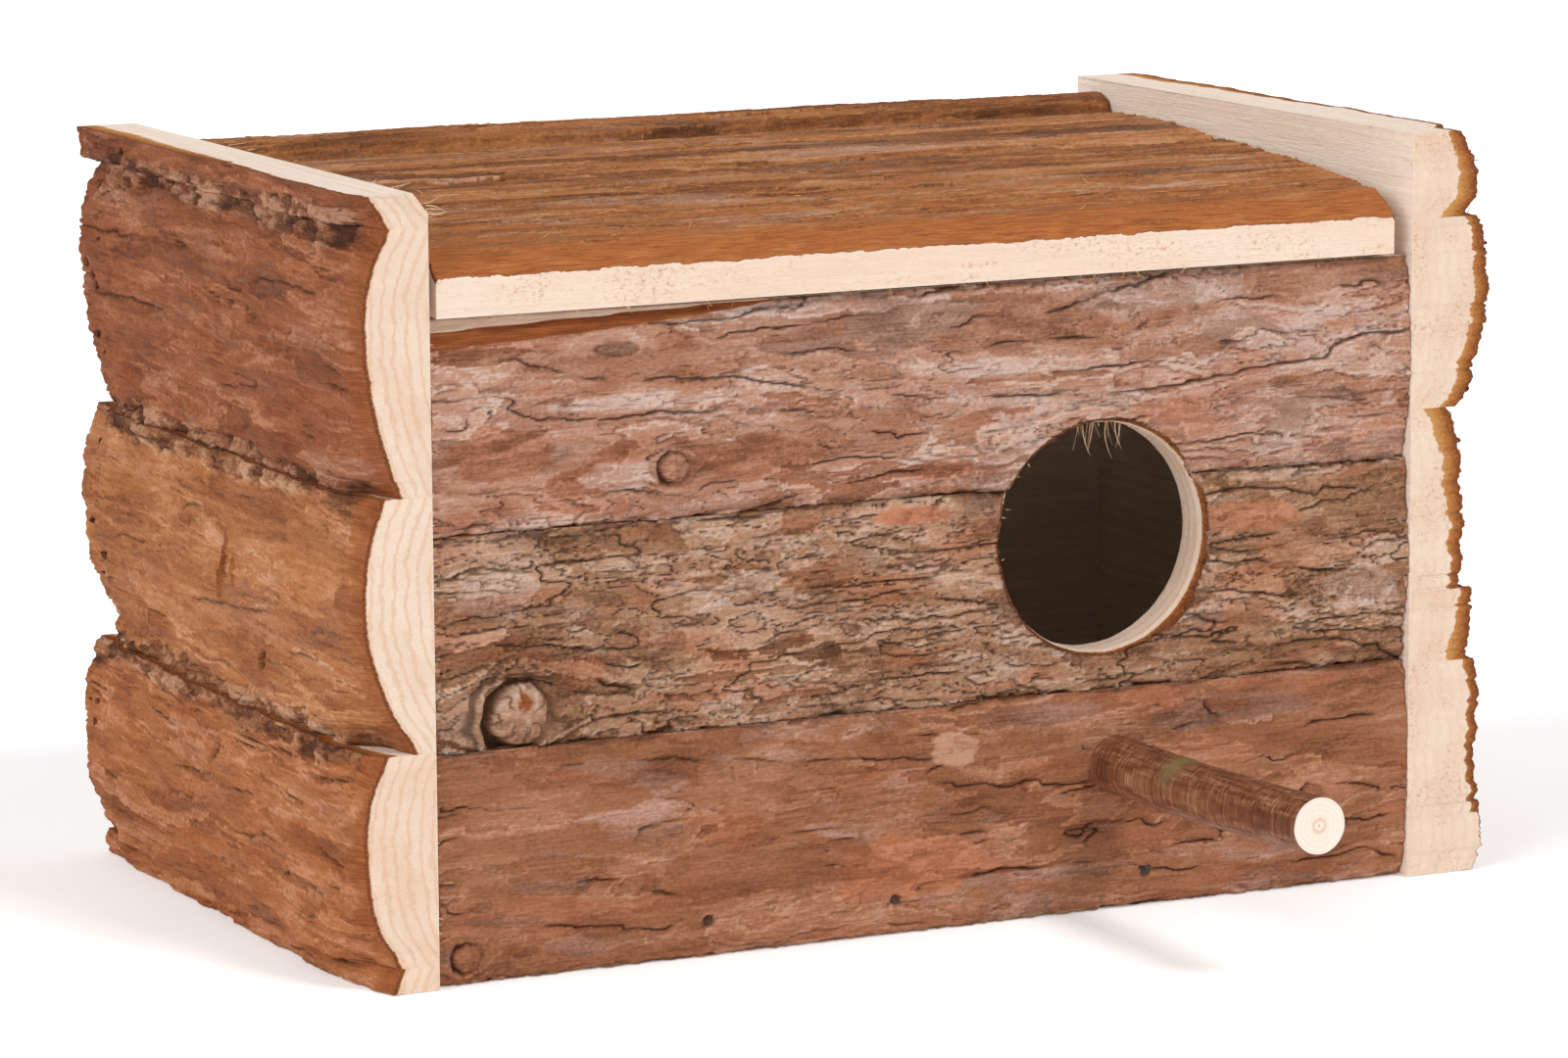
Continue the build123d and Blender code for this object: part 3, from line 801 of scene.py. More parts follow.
def right_end_shape(s, t, a, z, field, reach, back_notch):
    """The front end is sawn square, so the bark's whole thickness shows."""
    ragged = smooth(14, 2, s - FRONT_Y)
    field["height"] += (0.5 * noise(s / 1.3, z / 0.9, 71) + 0.35 * noise(s / 3, z / 2.6, 72)) * ragged
    field["crust"] = np.maximum(field["crust"], ragged)
    fill_joints(s, z, a, field, reach, back_notch)
    return np.zeros(s.shape)


# Each slab's bark at full thickness, in mm, and how far the notches at its joints open again at the
# back, from 0 to 1
LEFT_REACH = {"bottom": (12.6, 0.2), "lower": (14.9, 0.8), "middle": (14.2, 1.0), "upper": (13.9, 0.9),
              "top": (14.2, 0.0)}
RIGHT_REACH = {"bottom": (14.8, 0.5), "lower": (13.1, 0.8), "middle": (12.6, 0.8), "upper": (15.6, 0.8),
               "top": (14.6, 0.5)}
# Thickness of the bark on the right panel's front ends: at a slab's foot and at its top, in mm
RIGHT_RINDS = {"bottom": (1.1, 2.2), "lower": (4.2, 2.2), "middle": (1.8, 4.6), "upper": (3.4, 2.4),
               "top": (4.6, 2.8)}
# Whether crumbly crust lies along a slab's lower joint and its upper one
CRUSTED = {"bottom": (0, 0), "lower": (0, 1), "middle": (1, 1), "upper": (1, 1), "top": (1, 0)}
LEFT_SLITS = {
    "lower": ((2.0, 27.0, 7.0, 1.6, -50.0, 0.2), (-30.0, 12.0, 4.0, 0.9, -20.0, 0.0)),
    "middle": ((-4.0, 27.0, 6.0, 1.3, -72.0, 0.7), (-1.8, 24.0, 6.5, 1.4, -58.0, 0.8),
               (-7.0, 25.0, 3.5, 1.0, -80.0, 0.7),
               (-17.0, 10.5, 6.0, 1.5, -52.0, 0.3)),
    "upper": ((-33.0, 24.0, 5.0, 0.9, -70.0, 0.2),),
    "top": ((46.0, 3.0, 5.5, 1.8, -35.0, 0.0),),
}
BARE_BELOW = 10.0  # mm up the right panel's bottom slab, where its bark starts


def right_rind(z, part):
    """The bark's thickness up the right panel's front ends, below 0 where there is none."""
    low, high = (corner.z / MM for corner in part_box(f"right_end_slab_{part}"))
    foot, top = RIGHT_RINDS[part]
    bare = BARE_BELOW if part == "bottom" else -1.0
    thick = foot + (top - foot) * (z - low) / (high - low) + 0.5 * noise(z / 2.5, z / 9, 73)
    return thick * (z > bare) - (z <= bare)


def top_joint_rind(s):
    """The bark on an end panel's top edge, thicker towards the back."""
    return 1.2 + 2.6 * smooth(-30, 50, s)


def make_end_panels():
    for n, part in enumerate(LEFT_REACH):
        node = f"left_end_slab_{part}"
        reach, notch = LEFT_REACH[part]
        shape = partial(left_end_shape, reach=reach, back_notch=notch)
        end_slab(node, 0.8, shape, 100 + 7 * n, part, LEFT_SLITS.get(part, ()), 1.0)
        node = f"right_end_slab_{part}"
        reach, notch = RIGHT_REACH[part]
        shape = partial(right_end_shape, reach=reach, back_notch=notch)
        end_slab(node, partial(right_rind, part=part), shape, 140 + 7 * n, part, (), 0.35)


def outer_points(face):
    """The bark's outline on an end slab's face, from the foot up."""
    return sorted_by(face[np.abs(face[:, 0]) > INNER_X + THINNEST], 1)


def end_slab(node, rind, shape, seed, part, slits, rings):
    face = end_face(node, "y")
    outline = outer_points(face)
    inner_line = sorted_by(face[np.abs(face[:, 0]) <= INNER_X + THINNEST], 1)
    joint_rind = top_joint_rind if part == "top" else 2.5
    make_slab(node, "y", outline, inner_line, SMOOTH, BARKS[END_BARKS[part]], seed, "box",
              (rind, joint_rind, 3.0, 2.5), shape, groove=0.25, crusted=CRUSTED[part], slits=slits,
              rings=rings)


make_end_panels()


# --------------------------------------------------
# Front and back walls
# --------------------------------------------------

HOLE_X, HOLE_Z, HOLE_R = 31.5, 64.5, 19.5
FLOOR_BRAD_X = (-42.8, -8.1, 40.0)
FLOOR_BRAD_Z = 6.0
# (x, z) along the lower edge of the strip with no bark
TOP_STRIP = ((-91.0, 104.3), (-64.0, 105.6), (-29.0, 108.3))


def front_bottom_shape(s, t, a, z, field):
    """Small pits where the brads went in, painted dark as shade."""
    drop = np.zeros(s.shape)
    for x in FLOOR_BRAD_X:
        pit = smooth(1.35, 0.75, np.hypot(s - x, z - FLOOR_BRAD_Z) + 0.25 * noise(s / 0.8, z / 0.8, 80))
        drop += 0.9 * pit
        field["crack"] = np.maximum(field["crack"], pit)
    return drop


def front_top_shape(s, t, a, z, field):
    """At the top left the bark is pared away: first orange inner bark, then a pale edge of wood."""
    lower = np.interp(s, [p[0] for p in TOP_STRIP], [p[1] for p in TOP_STRIP],
                      right=200) + 0.12 * noise(s / 8, z / 2, 81)
    bare = smooth(-0.15, 0.25, z - lower)
    field["fresh"] = np.maximum(field["fresh"], bare)
    for key in ("crack", "crust"):
        field[key] = field[key] * (1 - bare)
    field["height"] = field["height"] * (1 - bare) - 0.9 * bare
    field["peeled"] = smooth(-0.1, 0.1, z - 107.3 - 0.025 * (s + 90) + 0.06 * noise(s / 9, z, 82)) * bare
    return 0.35 * np.clip(z - lower, 0, 4) * bare


def make_walls():
    looks = {"top": FLAKY, "middle": FURROWED, "bottom": CALM}
    shapes = {"front_top": front_top_shape, "front_bottom": front_bottom_shape}
    knots = {
        "front_middle": ((-76.0, 5.4, 5.4),),
        "front_top": ((-48.4, 8.6, 2.5),),
        "front_bottom": ((-86.0, 4.3, 2.4), (72.0, 16.0, 2.2)),
    }
    spots = {
        "front_top": (
            (-79, 13, 20, 9, -0.12, -0.5, 0.9), (-32, 9, 24, 8, -0.10, -0.5, 0.9),
            (-59, 8, 15, 5, 0.25, 0.8, 0.5),
            (-60, 30, 18, 4, 0.18, 0.3, 0.4), (-4, 31, 24, 7, -0.06, 0.9, 0.6),
            (-55, 20, 34, 3, 0.22, 0.6, 0.2),
            (14, 22, 40, 5, 0.16, 0.5, 0.3), (60, 26, 36, 6, 0.12, 0.5, 0.3),
            (-58, 29, 8, 2.5, -0.4, 0.4, 0.0),
            (68, 12, 26, 6, -0.10, 0.6, 0.3), (-76, 24, 26, 5, 0.10, 0.2, 0.4),
            (40, 31, 30, 4, 0.0, 0.8, 0.4),
        ),
        "front_middle": (
            (-80, 26, 16, 9, 0.08, 0.7, 0.2), (-66, 12, 9, 7, -0.05, -0.6, 0.8),
            (-4, 33, 13, 3.5, 0.0, -0.9, 0.9),
            (-40, 24, 22, 6, 0.10, 0.2, 0.3), (60, 28, 22, 6, 0.05, -0.7, 0.7),
            (82, 14, 14, 8, 0.20, 0.8, 0.4),
            (-30, 12, 46, 4, -0.14, 0.3, 0.1), (8, 21, 20, 5, 0.12, 0.1, 0.4),
            (72, 20, 18, 4, -0.05, -0.4, 0.5),
        ),
        "front_bottom": (
            (3, 31, 10, 6.5, 0.42, 0.5, 0.9), (-6, 12, 28, 11, 0.06, -0.7, 0.7),
            (-60, 28, 50, 6, 0.05, 0.2, 0.4),
            (50, 26, 30, 7, 0.05, -0.3, 0.6), (72, 18, 18, 9, 0.12, -0.2, 0.3),
        ),
    }
    made = {}
    for number, wall in enumerate(("front", "back")):
        for n, part in enumerate(("bottom", "middle", "top")):
            node, key = f"{wall}_slab_{part}", f"{wall}_{part}"
            face = end_face(node, "x")
            outline = sorted_by(face[np.abs(face[:, 0]) > -FRONT_Y - 2], 1)
            low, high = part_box(node)
            inner_y = (high.y if wall == "front" else low.y) / MM
            inner_line = ((inner_y, low.z / MM), (inner_y, high.z / MM))
            material = BARKS[key] if wall == "front" else BARKS["back"]
            made[node] = make_slab(node, "x", outline, inner_line, looks[part], material,
                                   200 + 50 * number + 9 * n, "box",
                                   (2.0, 0.1 if key == "front_top" else 2.0, 2.0, 2.0), shapes.get(key),
                                   knots.get(key, ()),
                                   0.82 if wall == "front" else 1.4, spots=spots.get(key, ()))
    return made


WALLS = make_walls()


def cutter():
    """A slightly rough cylinder for the entry hole."""
    rings, segments = 9, 220
    turn = np.linspace(0, 2 * np.pi, segments, endpoint=False)
    y = np.linspace(FRONT_Y - 3, FRONT_Y + 13, rings)
    tt, yy = np.meshgrid(turn, y)
    r = HOLE_R + 0.12 * fbm(np.cos(tt) * 6 + 3, np.sin(tt) * 6 + yy * 0.2, 300, 3)
    r = r + 0.85 * smooth(FRONT_Y + 3.2, FRONT_Y - 0.6, yy)
    co = np.stack([HOLE_X + r * np.cos(tt), yy, HOLE_Z + r * np.sin(tt)], axis=-1).reshape(-1, 3)
    index = np.arange(rings * segments).reshape(rings, segments)
    around = np.roll(index, -1, axis=1)
    quads = np.stack([index[:-1], index[1:], around[1:], around[:-1]], axis=-1).reshape(-1, 4)
    faces = [tuple(q) for q in quads.tolist()] + [tuple(index[0][::-1].tolist()), tuple(index[-1].tolist())]
    mesh = bpy.data.meshes.new("entry_hole_cutter")
    mesh.from_pydata([tuple(p) for p in (co * MM).tolist()], [], faces)
    mesh.attributes.new("sharp_face", "BOOLEAN", "FACE").data.foreach_set("value", [True] * len(faces))
    return facing_out(mesh)


def cut_hole(piece, tool):
    modifier = piece.modifiers.new("entry_hole", "BOOLEAN")
    modifier.operation, modifier.solver, modifier.object = "DIFFERENCE", "EXACT", tool
    depsgraph = bpy.context.evaluated_depsgraph_get()
    cut = bpy.data.meshes.new_from_object(piece.evaluated_get(depsgraph), depsgraph=depsgraph)
    piece.modifiers.clear()
    old, piece.data = piece.data, cut
    bpy.data.meshes.remove(old)
    co = np.empty(len(cut.vertices) * 3)
    cut.vertices.foreach_get("co", co)
    x, y, z = co.reshape(-1, 3).T / MM
    far = np.hypot(x - HOLE_X, z - HOLE_Z)
    wall = far < HOLE_R + 0.3 + 0.85 * smooth(FRONT_Y + 3.2, FRONT_Y - 0.6, y)
    depth = np.clip(y - (FRONT_Y + 0.4), 0, 10)

    def changed(name, new):
        values = np.empty(len(cut.vertices))
        cut.attributes[name].data.foreach_get("value", values)
        set_values(cut, name, np.where(wall, new, values))

    changed("skin", 0.0)
    changed("into", depth - 1.5)
    changed("peeled", 0.0)
    grain = np.empty(len(cut.vertices) * 3)
    cut.attributes["grain"].data.foreach_get("vector", grain)
    grain = grain.reshape(-1, 3)
    grain[wall] = np.stack([x, z, depth], axis=1)[wall]
    set_vectors(cut, "grain", grain)


def make_hole():
    tool = bpy.data.objects.new("entry_hole_cutter", cutter())
    bpy.context.scene.collection.objects.link(tool)
    for node in ("front_slab_middle", "front_slab_top"):
        cut_hole(WALLS[node], tool)
    bpy.data.meshes.remove(tool.data)


make_hole()


# --------------------------------------------------
# Roof
# --------------------------------------------------


HINGE_Y, HINGE_Z = 34.0, 118.5  # the hinge nails' axis
HINGE_CLEAR = 3.0  # points of the CAD slab nearer than this to the axis belong to its bore


def lid_front_shape(s, t, a, z, field):
    """Behind the sawn edge a bevel of rust-coloured inner bark."""
    band = smooth(9.5, 5.0, t + 1.6 * noise(s / 17, t / 4, 90) + 0.6 * noise(s / 3, t, 91))
    field["fresh"] = np.maximum(field["fresh"], band * (0.75 + 0.25 * noise(s / 9, t / 1.2, 92)))
    golden = smooth(0.0, 0.6, fbm(s / 30, t / 5, 93, 3) + 0.9 * smooth(34, 6, t))
    field["fresh"] = np.maximum(field["fresh"], golden * (0.5 + 0.35 * fbm(s / 14, t / 0.9, 94, 3)))
    field["height"] = field["height"] * (1 - 0.6 * band)
    field["crack"] = field["crack"] * (1 - band)
    field["crust"] = field["crust"] * (1 - band)
    return np.zeros(s.shape)


def make_roof():
    face = end_face("lid_front_slab", "x")
    front, joint = face[:, 0].min(), face[:, 0].max()

    def under(y, points):
        return points[np.abs(points[:, 0] - y) < 0.01][:, 1].min()

    inner = ((front, under(front, face)), (joint, under(joint, face)))
    slope = (inner[1][1] - inner[0][1]) / (inner[1][0] - inner[0][0])
    above = face[:, 1] - inner[0][1] - slope * (face[:, 0] - front)
    outline = sorted_by(face[above > 5], 0)
    make_slab("lid_front_slab", "x", outline, inner, FIBROUS, BARKS["lid"], 400, "lid",
              (1.0, 2.0, 1.0, 0.05), lid_front_shape,
              cut_shade=0.15, rings=0.2)

    face = end_face("lid_back_slab", "x")
    tail = face[face[:, 0] > face[:, 0].max() - 1.6]
    tail_low = tail[tail[:, 1].argmin()]
    inner = ((joint, under(joint, face)), tuple(tail_low))
    above = face[:, 1] - inner[0][1] - slope * (face[:, 0] - joint)
    outline = face[(above > 4.6) & ((face[:, 0] < joint + 0.1) | (face[:, 0] > joint + 2))]
    bore = np.hypot(outline[:, 0] - HINGE_Y, outline[:, 1] - HINGE_Z) < HINGE_CLEAR
    outline = outline[~bore]
    middle = np.array([(joint + tail_low[0]) / 2, 112.0])
    outline = outline[np.argsort(-np.arctan2(outline[:, 1] - middle[1], outline[:, 0] - middle[0]))]
    make_slab("lid_back_slab", "x", outline, inner, FIBROUS, BARKS["lid"], 430, "lid", (1.0, 1.0, 1.0, 2.0),
              None,
              groove=1.2)

    face = end_face("roof_back_slab", "x")
    low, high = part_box("roof_back_slab")
    inner = ((low.y / MM, low.z / MM), (high.y / MM, low.z / MM))
    outline = sorted_by(face[face[:, 1] > low.z / MM + 5], 0)
    make_slab("roof_back_slab", "x", outline, inner, FIBROUS, BARKS["lid"], 460, "box",
              (2.0, 2.0, 2.0, 2.0), None,
              groove=1.5)


make_roof()


# --------------------------------------------------
# Plain pieces from the frame: floor board, nails, brads, screw and washer
# --------------------------------------------------


def object_coordinates(k):
    return k.tree.nodes.new("ShaderNodeTexCoord").outputs["Object"]


def board_material():
    k = Nodes("floor_board_wood")
    place = object_coordinates(k)
    streak = k.noise(k.scaled(place, (14, 420, 420)), 1.0, 4.0, 0.6, 0.5)
    fuzz = k.noise(k.scaled(place, (1500, 2600, 2600)), 1.0, 3.0)
    base = k.ramp(streak, ((0.3, colour(214, 168, 126)), (0.5, colour(233, 199, 166)),
                           (0.7, colour(240, 214, 188))))
    base = k.mix(k.times(k.step(fuzz, 0.55, 0.75), 0.25), base, colour(196, 148, 108))
    return k.finish(base, 0.8, k.bump(k.plus(streak, fuzz), 0.4, 0.0002))


def steel_material():
    k = Nodes("dull_steel")
    place = object_coordinates(k)
    mottle = k.noise(place, 900.0, 3.0)
    base = k.ramp(mottle, ((0.35, colour(58, 50, 46)), (0.65, colour(96, 88, 82))))
    k.surface.inputs["Metallic"].default_value = 1.0
    return k.finish(base, k.plus(0.32, k.times(mottle, 0.25)), k.bump(mottle, 0.15, 0.0001))


def paint_nodes():
    board, steel = board_material(), steel_material()
    for name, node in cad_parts.items():
        kind = "steel" if any(word in name for word in ("brads", "nail", "screw", "washer")) else None
        if name == "floor_board":
            kind = "board"
        if kind:
            node.data.materials.clear()
            node.data.materials.append(steel if kind == "steel" else board)


paint_nodes()


# --------------------------------------------------
# Splinters, loose fibres and crumbs of bark
# --------------------------------------------------


def pick(seed, n, low=0.0, high=1.0):
    """The nth number of a fixed random row."""
    return low + (high - low) * float(hash01(np.array([n]), np.array([seed]), 7)[0])


def splinter(start, way, length, thickness, seed):
    """A curved sliver of three sides that tapers to a point."""
    way = Vector(way).normalized()
    across = way.cross(Vector((pick(seed, 1, -1), pick(seed, 2, -1), pick(seed, 3, -1)))).normalized()
    up = way.cross(across)
    curl = pick(seed, 4, -0.45, 0.45)
    steps = 7
    verts, faces = [], []
    for i in range(steps):
        u = i / (steps - 1)
        middle = Vector(start) + way * length * u + across * curl * length * u * u
        width = thickness * (1 - u) ** 0.7 + 0.02
        for c in range(3):
            turn = 2 * math.pi * c / 3 + 1.3 * u
            verts.append(middle + (across * math.cos(turn) + up * 0.6 * math.sin(turn)) * width / 2)
    for i in range(steps - 1):
        for c in range(3):
            d = (c + 1) % 3
            faces.append((3 * i + c, 3 * i + d, 3 * i + 3 + d, 3 * i + 3 + c))
    faces += [(2, 1, 0), (3 * steps - 3, 3 * steps - 2, 3 * steps - 1)]
    return verts, faces


def crumb(middle, size, seed):
    """A rough lump of bark."""
    rows, columns = 8, 12
    verts, faces = [Vector((0, 0, -1))], []
    for i in range(1, rows):
        for j in range(columns):
            rise, turn = math.pi * i / rows, 2 * math.pi * j / columns
            verts.append(Vector((math.sin(rise) * math.cos(turn), math.sin(rise) * math.sin(turn),
                                 -math.cos(rise))))
    verts.append(Vector((0, 0, 1)))
    for j in range(columns):
        k = (j + 1) % columns
        faces.append((0, 1 + k, 1 + j))
        for i in range(rows - 2):
            a, b = 1 + i * columns, 1 + (i + 1) * columns
            faces.append((a + j, a + k, b + k, b + j))
        top = 1 + (rows - 2) * columns
        faces.append((top + j, top + k, len(verts) - 1))
    co = np.array(verts)
    bumps = 1 + 0.55 * noise(co[:, 0] * 1.3 + seed, co[:, 1] * 1.3 + 2 * co[:, 2], seed)
    bumps = bumps + 0.3 * noise(co[:, 0] * 3.1 + seed, co[:, 2] * 3.1 - co[:, 1], seed + 1)
    co = co * bumps[:, None] * np.array(size)[None] / 2
    return [Vector(p) + Vector(middle) for p in co], faces


def kept_in(verts):
    """A small piece's points, all moved inwards by what they stick out of the CAD model's box."""
    co = np.array(verts)
    out = np.maximum(co.max(axis=0) - BOX_HIGH, 0) - np.maximum(BOX_LOW - co.min(axis=0), 0)
    return [v - Vector(out) for v in verts]


def joined(name, parts, tint):
    """One mesh of many small pieces, with the values that a bark material reads."""
    verts, faces = [], []
    for part_verts, part_faces in parts:
        faces += [tuple(v + len(verts) for v in face) for face in part_faces]
        verts += kept_in(part_verts)
    mesh = bpy.data.meshes.new(name)
    mesh.from_pydata([tuple(v * MM) for v in verts], [], faces)
    co = np.array(verts)
    set_values(mesh, "skin", np.ones(len(co)))
    set_values(mesh, "tint", tint + 0.25 * noise(co[:, 0] / 2, co[:, 2] / 2, 600))
    set_vectors(mesh, "grain", co)
    return mesh


def pale_fibre_material(name, dark, light):
    k = Nodes(name)
    grain = k.attribute("grain", "Vector")
    shade = k.noise(k.scaled(grain, (0.4, 0.4, 0.4)), 1.0, 2.0)
    return k.finish(k.ramp(shade, ((0.35, colour(*dark)), (0.65, colour(*light)))), 0.8)


def hole_splinters():
    parts = []
    for n in range(34):
        if n < 16:
            turn, length = math.radians(pick(700, n, 72, 104)), pick(701, n, 1.5, 6.0)  # a tuft at the top
        else:
            turn, length = math.radians(pick(700, n, 40, 330)), pick(701, n, 0.5, 1.6)
        rim = HOLE_R + 0.2
        start = (HOLE_X + rim * math.cos(turn), FRONT_Y + pick(702, n, 0.3, 5.0),
                 HOLE_Z + rim * math.sin(turn))
        lean = pick(703, n, -0.5, 0.7)
        way = (-math.cos(turn) + lean * math.sin(turn), pick(704, n, -0.25, 0.15),
               -math.sin(turn) - 0.2 * lean)
        parts.append(splinter(start, way, length, pick(705, n, 0.13, 0.26), 710 + n))
    material = pale_fibre_material("rim_splinters", (196, 150, 104), (240, 214, 182))
    add_piece("entry_hole_splinters", joined("entry_hole_splinters", parts, 0.8), material, "box")


def edge_splinters():
    """Fine hairs that the saw left on the end panels' top inner edges and along the front corners."""
    parts = []
    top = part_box("left_end_slab_top")[1].z / MM
    for n in range(26):
        side = -1 if n < 16 else 1
        at_front = n % 3 > 0
        y = FRONT_Y + (pick(720, n, 0.0, 3.0) if at_front else pick(720, n, 4, 100))
        x = side * (INNER_X + (0.1 if at_front else 0.6))
        z = top - (pick(721, n, 1.5, 6.0) if at_front else 0.3)
        way = (-side * pick(722, n, 0.4, 1.0), -pick(723, n, 0.0, 0.6) * at_front,
               pick(724, n, -0.1, 0.5) - 0.3 * at_front)
        parts.append(splinter((x, y, z), way, pick(725, n, 1.2, 3.4), pick(726, n, 0.12, 0.24), 730 + n))
    for n in range(44):
        side = -1 if n % 2 else 1
        z = pick(740, n, 3, 106)
        way = (-side * pick(741, n, 0.3, 1.0), -pick(742, n, 0.3, 1.0), pick(743, n, -0.7, 0.7))
        parts.append(splinter((side * INNER_X, FRONT_Y + 0.1, z), way, pick(744, n, 0.4, 1.1), 0.16,
                              750 + n))
    material = pale_fibre_material("saw_hairs", (206, 168, 128), (246, 226, 200))
    add_piece("panel_hairs", joined("panel_hairs", parts, 0.9), material, "box")


def lid_fibres():
    """Hairs under the lid's front edge and loose golden fibres on its bark."""
    low, high = (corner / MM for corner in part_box("lid_front_slab"))
    parts = []
    for n in range(40):
        x = pick(760, n, low.x + 2, high.x - 2)
        way = (pick(761, n, -0.8, 0.8), -0.25, -pick(762, n, 0.3, 1.0))
        parts.append(splinter((x, low.y + 0.15, low.z + 0.25), way, pick(763, n, 0.4, 2.0), 0.18, 770 + n))
    parts += lying_fibres("lid_front_slab", 90, 780)
    add_piece("lid_fibres", joined("lid_fibres", parts, 0.8),
              pale_fibre_material("lid_fibre", (176, 124, 66), (222, 186, 130)),
              "lid")


def lying_fibres(node, count, seed):
    """Fibres that lie on a roof slab's bark."""
    piece = bpy.data.objects[f"{node}_wood"]
    low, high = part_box(node)
    parts = []
    for n in range(count):
        x, y = pick(seed, n, low.x, high.x) * 0.98, pick(seed + 1, n, low.y + 0.004, high.y - 0.002)
        hit, place, _, _ = piece.ray_cast(Vector((x, y, 0.2)), Vector((0, 0, -1)))
        if hit:
            way = (pick(seed + 2, n, -1, 1), pick(seed + 3, n, -0.4, 0.4), pick(seed + 4, n, 0.02, 0.16))
            parts.append(splinter(place / MM, way, pick(seed + 5, n, 1.5, 4.5), 0.14, seed + 10 + n))
    return parts


def bark_crumbs():
    """Crumbs and shreds that hang on to the bark's front edge on the right and to its back edge on
    the left."""
    parts = []
    for n in range(64):
        side = 1 if n < 46 else -1
        part = ("lower", "middle", "upper", "upper", "top")[n % 5]
        node = f"{'right' if side > 0 else 'left'}_end_slab_{part}"
        face = end_face(node, "y")
        outline = outer_points(face)
        z = pick(801, n, outline[0, 1] + 0.5, outline[-1, 1] - 0.5)
        x = float(np.interp(z, outline[:, 1], np.abs(outline[:, 0]))) * side
        y = FRONT_Y + pick(802, n, 0.6, 9.0) if side > 0 else BACK_Y + pick(802, n, -4.0, 4.0)
        x = x - side * pick(803, n, 0.1, 0.7)
        size = (pick(804, n, 0.7, 1.9), pick(805, n, 0.8, 2.4), pick(806, n, 0.6, 1.7))
        parts.append(crumb((x, y, z), size, 810 + n))
        if n % 4 == 0:
            way = (side * pick(807, n, 0.4, 1.0), pick(808, n, -0.4, 0.4), pick(809, n, -0.6, 0.9))
            parts.append(splinter((x, y, z), way, pick(811, n, 1.5, 3.2), 0.3, 890 + n))
    add_piece("bark_crumbs", joined("bark_crumbs", parts, 0.25), BARKS["end_red"], "box")


hole_splinters()
edge_splinters()
lid_fibres()
bark_crumbs()


# --------------------------------------------------
# Perch
# --------------------------------------------------


def perch_material():
    k = Nodes("twig_bark")
    grain = k.attribute("grain", "Vector")
    wrinkle = k.noise(k.scaled(grain, (3.4, 0.5, 0.5)), 1.0, 3.0, 0.6, 0.3)
    streak = k.noise(k.scaled(grain, (0.12, 0.9, 0.9)), 1.0, 3.0)
    speck = k.noise(k.scaled(grain, (1.5, 1.5, 1.5)), 1.0, 4.0, 0.7)
    tint = k.plus(k.times(wrinkle, 0.55), k.times(streak, 0.45))
    bark = k.ramp(tint, (
        (0.36, colour(70, 36, 20)), (0.46, colour(102, 57, 34)), (0.55, colour(132, 84, 55)),
        (0.66, colour(172, 130, 104))))
    bark = k.mix(k.times(k.step(speck, 0.62, 0.75), 0.5), bark, colour(70, 40, 26))
    bark = k.mix(k.attribute("fresh"), bark, colour(118, 104, 66))
    _, _, radius = separate(k, grain)
    rings = k.math("SINE", k.plus(k.times(radius, 7.0), k.times(speck, 2.0)))
    wood = k.mix(k.times(k.step(rings, 0.2, 1.0), 0.3), colour(244, 226, 212), colour(228, 198, 176))
    pith = k.times(k.step(radius, 1.7, 1.3), k.step(radius, 0.6, 1.0))
    wood = k.mix(k.times(pith, 0.6), wood, colour(216, 180, 152))
    wood = k.mix(k.times(k.step(speck, 0.58, 0.7), 0.35), wood, colour(208, 160, 120))
    base = k.mix(k.step(k.attribute("skin"), 0.4, 0.6), wood, bark)
    normal = k.bump(k.plus(wrinkle, k.times(speck, 0.4)), 0.5, 0.0003)
    return k.finish(base, 0.62, normal)


